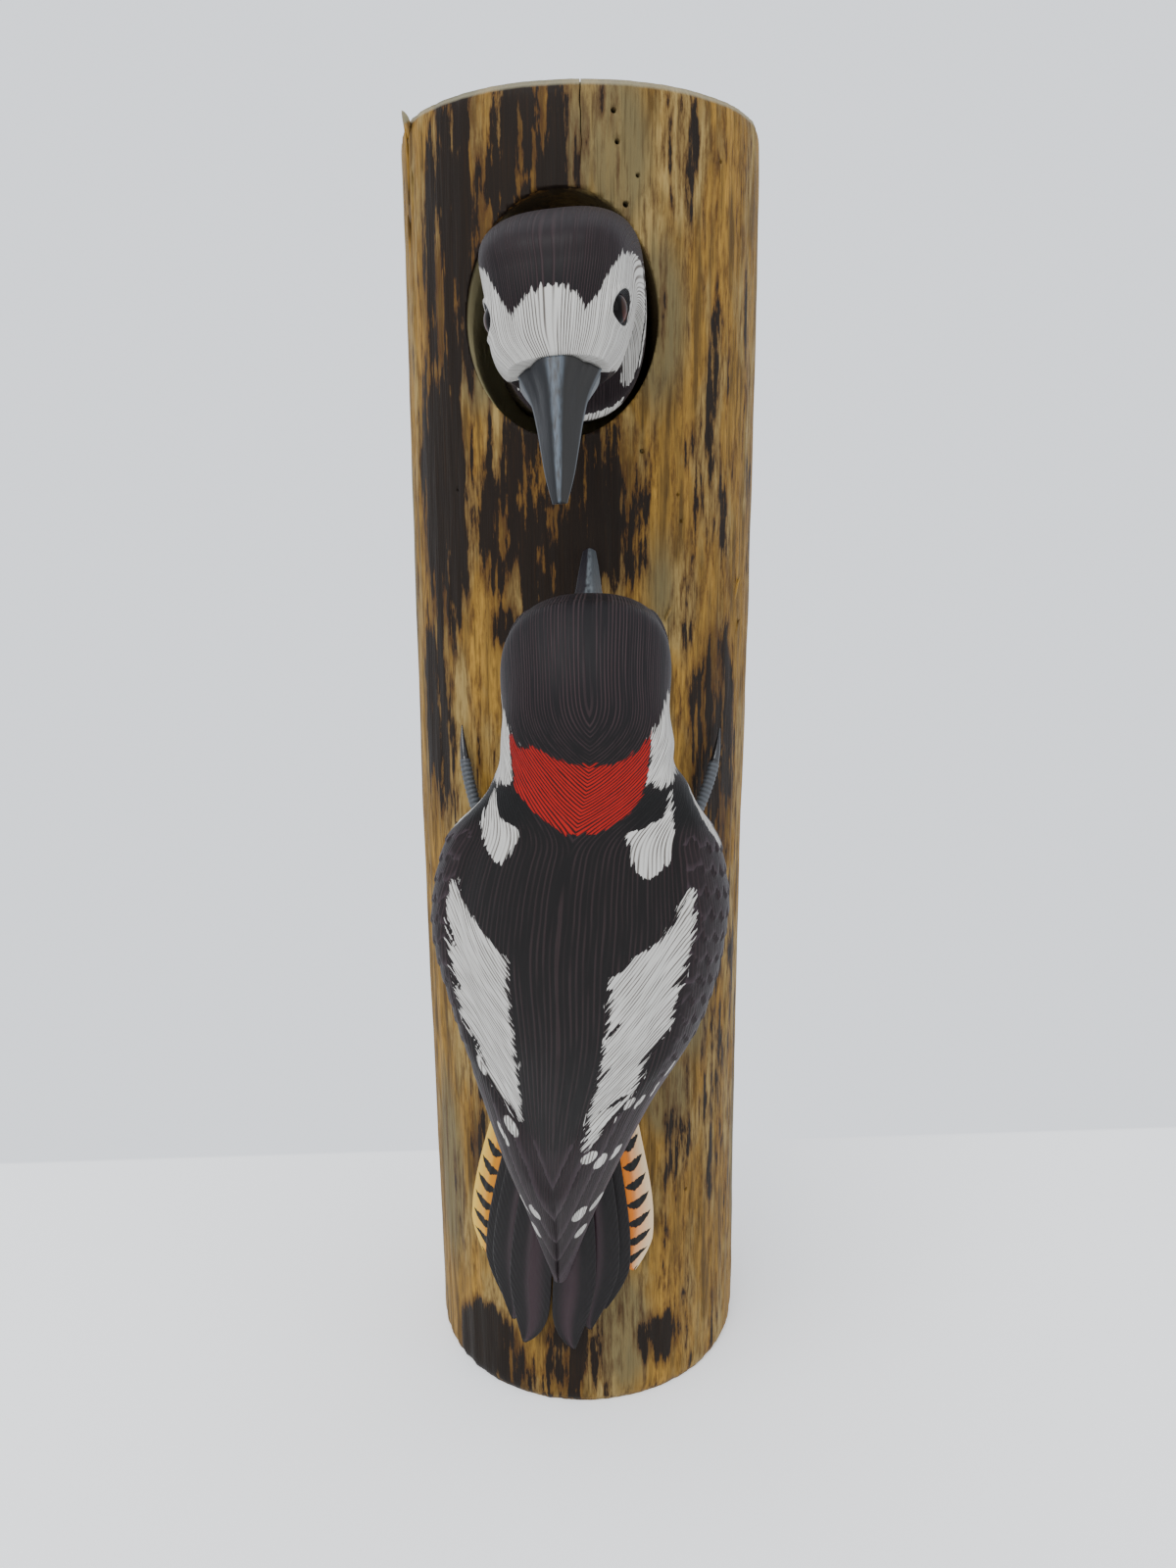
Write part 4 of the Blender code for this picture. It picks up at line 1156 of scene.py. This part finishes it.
def glass_eye():
    """Painted glass: a brown-black pupil in a red-brown iris, under a hard clear gloss."""
    material, tree = new_material("painted_glass_eye")
    degrees = add(tree, "Attribute", attribute_name="from_pupil").outputs["Fac"]
    lower = add(tree, "Attribute", attribute_name="lower").outputs["Fac"]
    ring = add(tree, "MapRange", (degrees, 12.0, 17.0))
    edge = add(tree, "MapRange", (degrees, 32.0, 37.0))
    warm = add(tree, "MapRange", (lower, -0.4, 0.4))
    iris = add(tree, "Mix", {0: warm, 6: "#2a1c16", 7: "#4a1511"}, data_type="RGBA")
    colour = "#0c0808"
    for share, paint in ((ring, iris), (edge, "#070505")):
        colour = add(tree, "Mix", {0: share, 6: colour, 7: paint}, data_type="RGBA")
    gloss = {"Roughness": 0.1, "Specular IOR Level": 0.07}
    return finish_material(material, {"Base Color": colour, **gloss})


def cast_foot():
    """Cast white metal in matt grey paint, with glossy black claws."""
    material, tree = new_material("painted_white_metal_feet")
    claw = add(tree, "Attribute", attribute_name="claw").outputs["Vector"]
    beyond, along = add(tree, "SeparateXYZ", (claw,)).outputs[:2]
    black = add(tree, "MapRange", (beyond, -0.3, 0.3))
    rings = add(tree, "Math", (along, 2 * math.pi / TOE_RING_PITCH), operation="MULTIPLY")
    rings = add(tree, "Math", (rings,), operation="COSINE")
    # The grey is lighter on each ring's crest and darker between the rings.
    worn = add(tree, "MapRange", (rings, -1.0, 1.0))
    grey = add(tree, "Mix", {0: worn, 6: "#2b2e31", 7: "#404449"}, data_type="RGBA")
    colour = add(tree, "Mix", {0: black, 6: grey, 7: "#17181a"}, data_type="RGBA")
    rough = add(tree, "MapRange", (black, 0, 1, 0.55, 0.25))
    return finish_material(material, {"Base Color": colour, "Roughness": rough})


def grain_noises(tree, place_at):
    """Fibres 0.5 mm wide, flecks 1.6, streaks 3.2 and blotches 12 mm wide, drawn up the log."""
    noises = []
    for width, length, detail, coarse in (
        (0.5, 14.0, 4.0, 0.5),
        (1.6, 9.0, 6.0, 0.68),
        (3.2, 38.0, 8.0, 0.6),
        (12.0, 34.0, 6.0, 0.55),
    ):
        wide, long = 1 / (width * MM), 1 / (length * MM)
        space = add(tree, "VectorMath", (place_at, (wide, wide, long)), operation="MULTIPLY")
        settings = {"Vector": space, "Scale": 1.0, "Detail": detail, "Roughness": coarse}
        noises.append(add(tree, "TexNoise", settings))
    return noises


def bore_painted_light_and_shade(tree, place_at):
    """The cut wall of the nest hole with light and shade painted on it: painted light low on its
    left, where light falls, and painted shade above the head."""
    x, _, z = add(tree, "SeparateXYZ", (place_at,)).outputs
    # Painted light and shade across the hole's wall, from its lower left up to its top.
    far = add(tree, "Math", (z, 0.9, x), operation="MULTIPLY_ADD")
    middle = HOLE_X + 0.9 * HOLE_Z
    aside = add(tree, "MapRange", (far, (middle - 18) * MM, (middle + 10) * MM))
    return add(tree, "Mix", {0: aside, 6: "#a39a76", 7: "#241c0f"}, data_type="RGBA")


def sawn_end(tree, place_at, height):
    """Where the top end is sawn, and its greyed wood with growth rings."""
    rings = {"Vector": place_at, "Scale": WAVE_PITCH / (GROWTH_RING_PITCH * MM)}
    rings = {**rings, "Distortion": 1.0, "Detail": 2.0}
    rings = add(tree, "TexWave", rings, wave_type="RINGS", rings_direction="Z").outputs["Fac"]
    normal = add(tree, "NewGeometry").outputs["Normal"]
    facing = add(tree, "SeparateXYZ", (normal,)).outputs[2]
    end = add(tree, "Math", (facing,), operation="ABSOLUTE")
    end = add(tree, "MapRange", (end, 0.85, 0.97))
    at_top = add(tree, "MapRange", (height, LOG_HEIGHT - 3.0, LOG_HEIGHT - 1.5))
    sawn = add(tree, "Math", (end, at_top), operation="MULTIPLY")
    rim = add(tree, "MapRange", (height, LOG_HEIGHT - 1.5, LOG_HEIGHT - 0.8, 0.0, 0.7))
    sawn = add(tree, "Math", (sawn, rim), operation="MAXIMUM")
    return sawn, add(tree, "Mix", {0: rings, 6: "#6f6d58", 7: "#86806a"}, data_type="RGBA")


def stained_log():
    """Debarked soft wood: golden where it is clean, near black where bark and damp stained it
    in ragged patches, with fine brown fibres up its length under a dull wax."""
    material, tree = new_material("debarked_stained_wood")
    around = add(tree, "Attribute", attribute_name="around").outputs["Vector"]
    dark = add(tree, "Attribute", attribute_name="dark_stain_and_shadow").outputs["Fac"]
    olive = add(tree, "Attribute", attribute_name="olive_stain").outputs["Fac"]
    place_at = add(tree, "TexCoord").outputs["Object"]
    _, height, depth = add(tree, "SeparateXYZ", (around,)).outputs
    fibre, fleck, streak, blotch = grain_noises(tree, place_at)
    grain = add(tree, "MapRange", (streak, 0.38, 0.6))
    tan = add(tree, "MapRange", (blotch, 0.48, 0.6, 0.0, 0.8))
    speckle = add(tree, "MapRange", (fleck, 0.5, 0.62, 0.0, 0.5))
    spill = add(tree, "Math", (streak, 14.0, olive), operation="MULTIPLY_ADD")
    greyed = add(tree, "MapRange", (spill, 5.0, 9.0, 0.0, 0.85))
    # The noises make the dark stains' edges ragged, by some millimetres each.
    ragged = add(tree, "Clamp", (dark, -5.0, 1.6))
    for noise_of, reach in ((streak, 24.0), (blotch, 14.0), (fleck, 14.0)):
        ragged = add(tree, "Math", (noise_of, reach, ragged), operation="MULTIPLY_ADD")
    ruddy = add(tree, "MapRange", (ragged, 21.0, 25.6, 0.0, 0.85))
    stained = add(tree, "MapRange", (ragged, 25.2, 26.2, 0.0, 0.96))
    fibres = add(tree, "MapRange", (fibre, 0.52, 0.75, 0.0, 0.6))
    # Inside the nest hole the wood takes the bore's colour, with its painted light and shade.
    inner = add(tree, "MapRange", (depth, 0.8, 2.5, 0.0, 0.85))
    sawn, cut = sawn_end(tree, place_at, height)
    wood = "#4a3718"
    for share, tone in (
        (grain, "#93702f"),
        (tan, "#8e7848"),
        (speckle, "#4a3414"),
        (greyed, "#5c5338"),
        # Brown on the brown stains, on the dark stains' rims, and for the painted shadow beside the
        # bird.
        (ruddy, "#38200d"),
        (stained, "#110b07"),
        (fibres, "#241608"),
        (inner, bore_painted_light_and_shade(tree, place_at)),
        (sawn, cut),
    ):
        wood = add(tree, "Mix", {0: share, 6: wood, 7: tone}, data_type="RGBA")
    rough = add(tree, "MapRange", (stained, 0, 1, 0.66, 0.58))
    bump = add(tree, "Bump", {"Height": fibre, "Strength": 0.6, "Distance": 0.3 * MM})
    surface = {"Base Color": wood, "Roughness": rough, "Normal": bump}
    return finish_material(material, {**surface, "Specular IOR Level": 0.12})


# ---------------------------------------------------------------- the set

CAMERA_PLACE = Vector((1.3, -333.7, 245.5)) * MM
CAMERA_TILT = 77.2
CAMERA_ROLL = -0.0059
CAMERA_LENS = 27.045
ROOM_COLOUR = "#d9dde4"
ROOM_LIGHT = 1.9


def add_camera():
    """In front of the log, above its middle, and tilted a little down."""
    camera = bpy.data.cameras.new("camera")
    camera.sensor_width = 36.0
    camera.lens = CAMERA_LENS
    camera.clip_start = 0.01
    rig = bpy.data.objects.new("camera", camera)
    turn = Matrix.Rotation(math.radians(CAMERA_TILT), 4, "X") @ Matrix.Rotation(CAMERA_ROLL, 4, "Z")
    rig.matrix_world = Matrix.Translation(CAMERA_PLACE) @ turn
    bpy.context.scene.collection.objects.link(rig)
    bpy.context.scene.camera = rig


def add_light(name, spot, aim, size, power):
    """A square soft light that points at aim."""
    lamp = bpy.data.lights.new(name, "AREA")
    lamp.shape, lamp.size, lamp.energy = "SQUARE", size, power
    rig = bpy.data.objects.new(name, lamp)
    rig.location = spot
    rig.rotation_euler = (Vector(aim) - Vector(spot)).to_track_quat("-Z", "Y").to_euler()
    bpy.context.scene.collection.objects.link(rig)


def white_board():
    """Matt painted board: dull and even. It is white in front, and behind the log it is as
    bright as the room, like a wall."""
    material, tree = new_material("matt_white_board")
    x, y = add(tree, "SeparateXYZ", (add(tree, "TexCoord").outputs["Object"],)).outputs[:2]
    line = add(tree, "Math", (x, -0.048, y), operation="MULTIPLY_ADD")
    far = add(tree, "MapRange", (line, 0.0932, 0.0952))
    colour = add(tree, "Mix", {0: far, 6: "#efefee", 7: "#000000"}, data_type="RGBA")
    glow = add(tree, "MapRange", (far, 0, 1, 0.35, ROOM_LIGHT))
    dull = {"Roughness": 1.0, "Specular IOR Level": 0.0, "Emission Color": ROOM_COLOUR}
    return finish_material(material, {"Base Color": colour, "Emission Strength": glow, **dull})


def add_studio():
    """A pale floor in an evenly bright room, with a soft key light and a weaker fill."""
    bm = bmesh.new()
    bmesh.ops.create_grid(bm, x_segments=40, y_segments=40, size=6.0)
    floor = as_object("floor", bm)
    floor.data.materials.append(white_board())
    floor.location.z = -0.0002
    world = bpy.data.worlds.new("soft_room")
    world.use_nodes = True
    back = world.node_tree.nodes["Background"]
    back.inputs[0].default_value = linear(ROOM_COLOUR)
    back.inputs[1].default_value = ROOM_LIGHT
    bpy.context.scene.world = world
    add_light("key", (-0.35, -0.75, 1.0), (0, -0.03, 0.2), 0.45, 9.0)
    add_light("fill", (0.8, -0.7, 0.5), (0, -0.03, 0.17), 0.7, 2.0)


# ---------------------------------------------------------------- all together


def add_birds():
    """Both birds' skins, bills and eyes."""
    plumage = painted_barbs()
    nodes = ["bird_head", "bird_neck", "bird_trunk", "bird_wing_left", "bird_wing_right"]
    add_skin("bird_skin", BIRD_SECTIONS, 300, 328, clinging_fields, clinging_pose, plumage, nodes)
    nodes = ["nest_bird_head", "nest_bird_neck"]
    add_skin("nest_bird_skin", NEST_SECTIONS, 300, 320, nest_fields, nest_pose, plumage, nodes)
    # Each bill: its left and right side colours, one of them painted darker as shade, then its
    # painted ridge highlight.
    slate = painted_bill("painted_slate_bill", "#181716", "#101114", "#3d464f")
    pale_slate = painted_bill("painted_pale_slate_bill", "#1d1b20", "#414548", "#5d6265")
    glass = glass_eye()
    for prefix, base, pitch, pose, widths, eye, paint in (
        ("bird_", BIRD_BILL_BASE, BIRD_HEAD_PITCH, clinging_pose, SLIM_BILL, BIRD_EYE, pale_slate),
        ("nest_bird_", (0.0, 0.0), NEST_HEAD_PITCH, nest_pose, BROAD_BILL, NEST_EYE, slate),
    ):
        add_mandible(prefix + "bill_upper", True, widths, base, pitch, pose, paint)
        add_mandible(prefix + "bill_lower", False, widths, base, pitch, pose, paint)
        for side, sign in SIDES:
            add_eye(f"{prefix}eye_{side}", eye, sign, base, pitch, pose, glass)


def add_feet_and_tail():
    """The clinging bird's feet and tail feathers."""
    dark_tail = painted_tail("painted_lime_wood_tail", False)
    barred_tail = painted_tail("painted_lime_wood_barred", True)
    metal = cast_foot()
    for side, sign in SIDES:
        add_foot(side, sign, metal)
        for feather, sizes in TAIL_FEATHERS.items():
            barred = feather == "barred"
            paint, slot = (barred_tail, "barred_paint") if barred else (dark_tail, "black_paint")
            name = f"bird_tail_{feather}_{side}"
            add_tail_feather(name, TAIL_STRETCH[side], sizes, paint)


def build():
    """The set and all the pieces."""
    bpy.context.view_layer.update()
    add_camera()
    add_studio()
    wood = stained_log()
    add_log(wood)
    add_splinters(wood)
    add_birds()
    add_feet_and_tail()


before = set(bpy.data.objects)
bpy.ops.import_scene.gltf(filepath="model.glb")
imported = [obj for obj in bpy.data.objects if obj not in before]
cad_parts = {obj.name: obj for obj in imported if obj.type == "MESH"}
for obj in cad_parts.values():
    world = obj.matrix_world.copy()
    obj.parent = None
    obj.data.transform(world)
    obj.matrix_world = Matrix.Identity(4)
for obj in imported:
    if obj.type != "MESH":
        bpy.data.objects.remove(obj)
build()
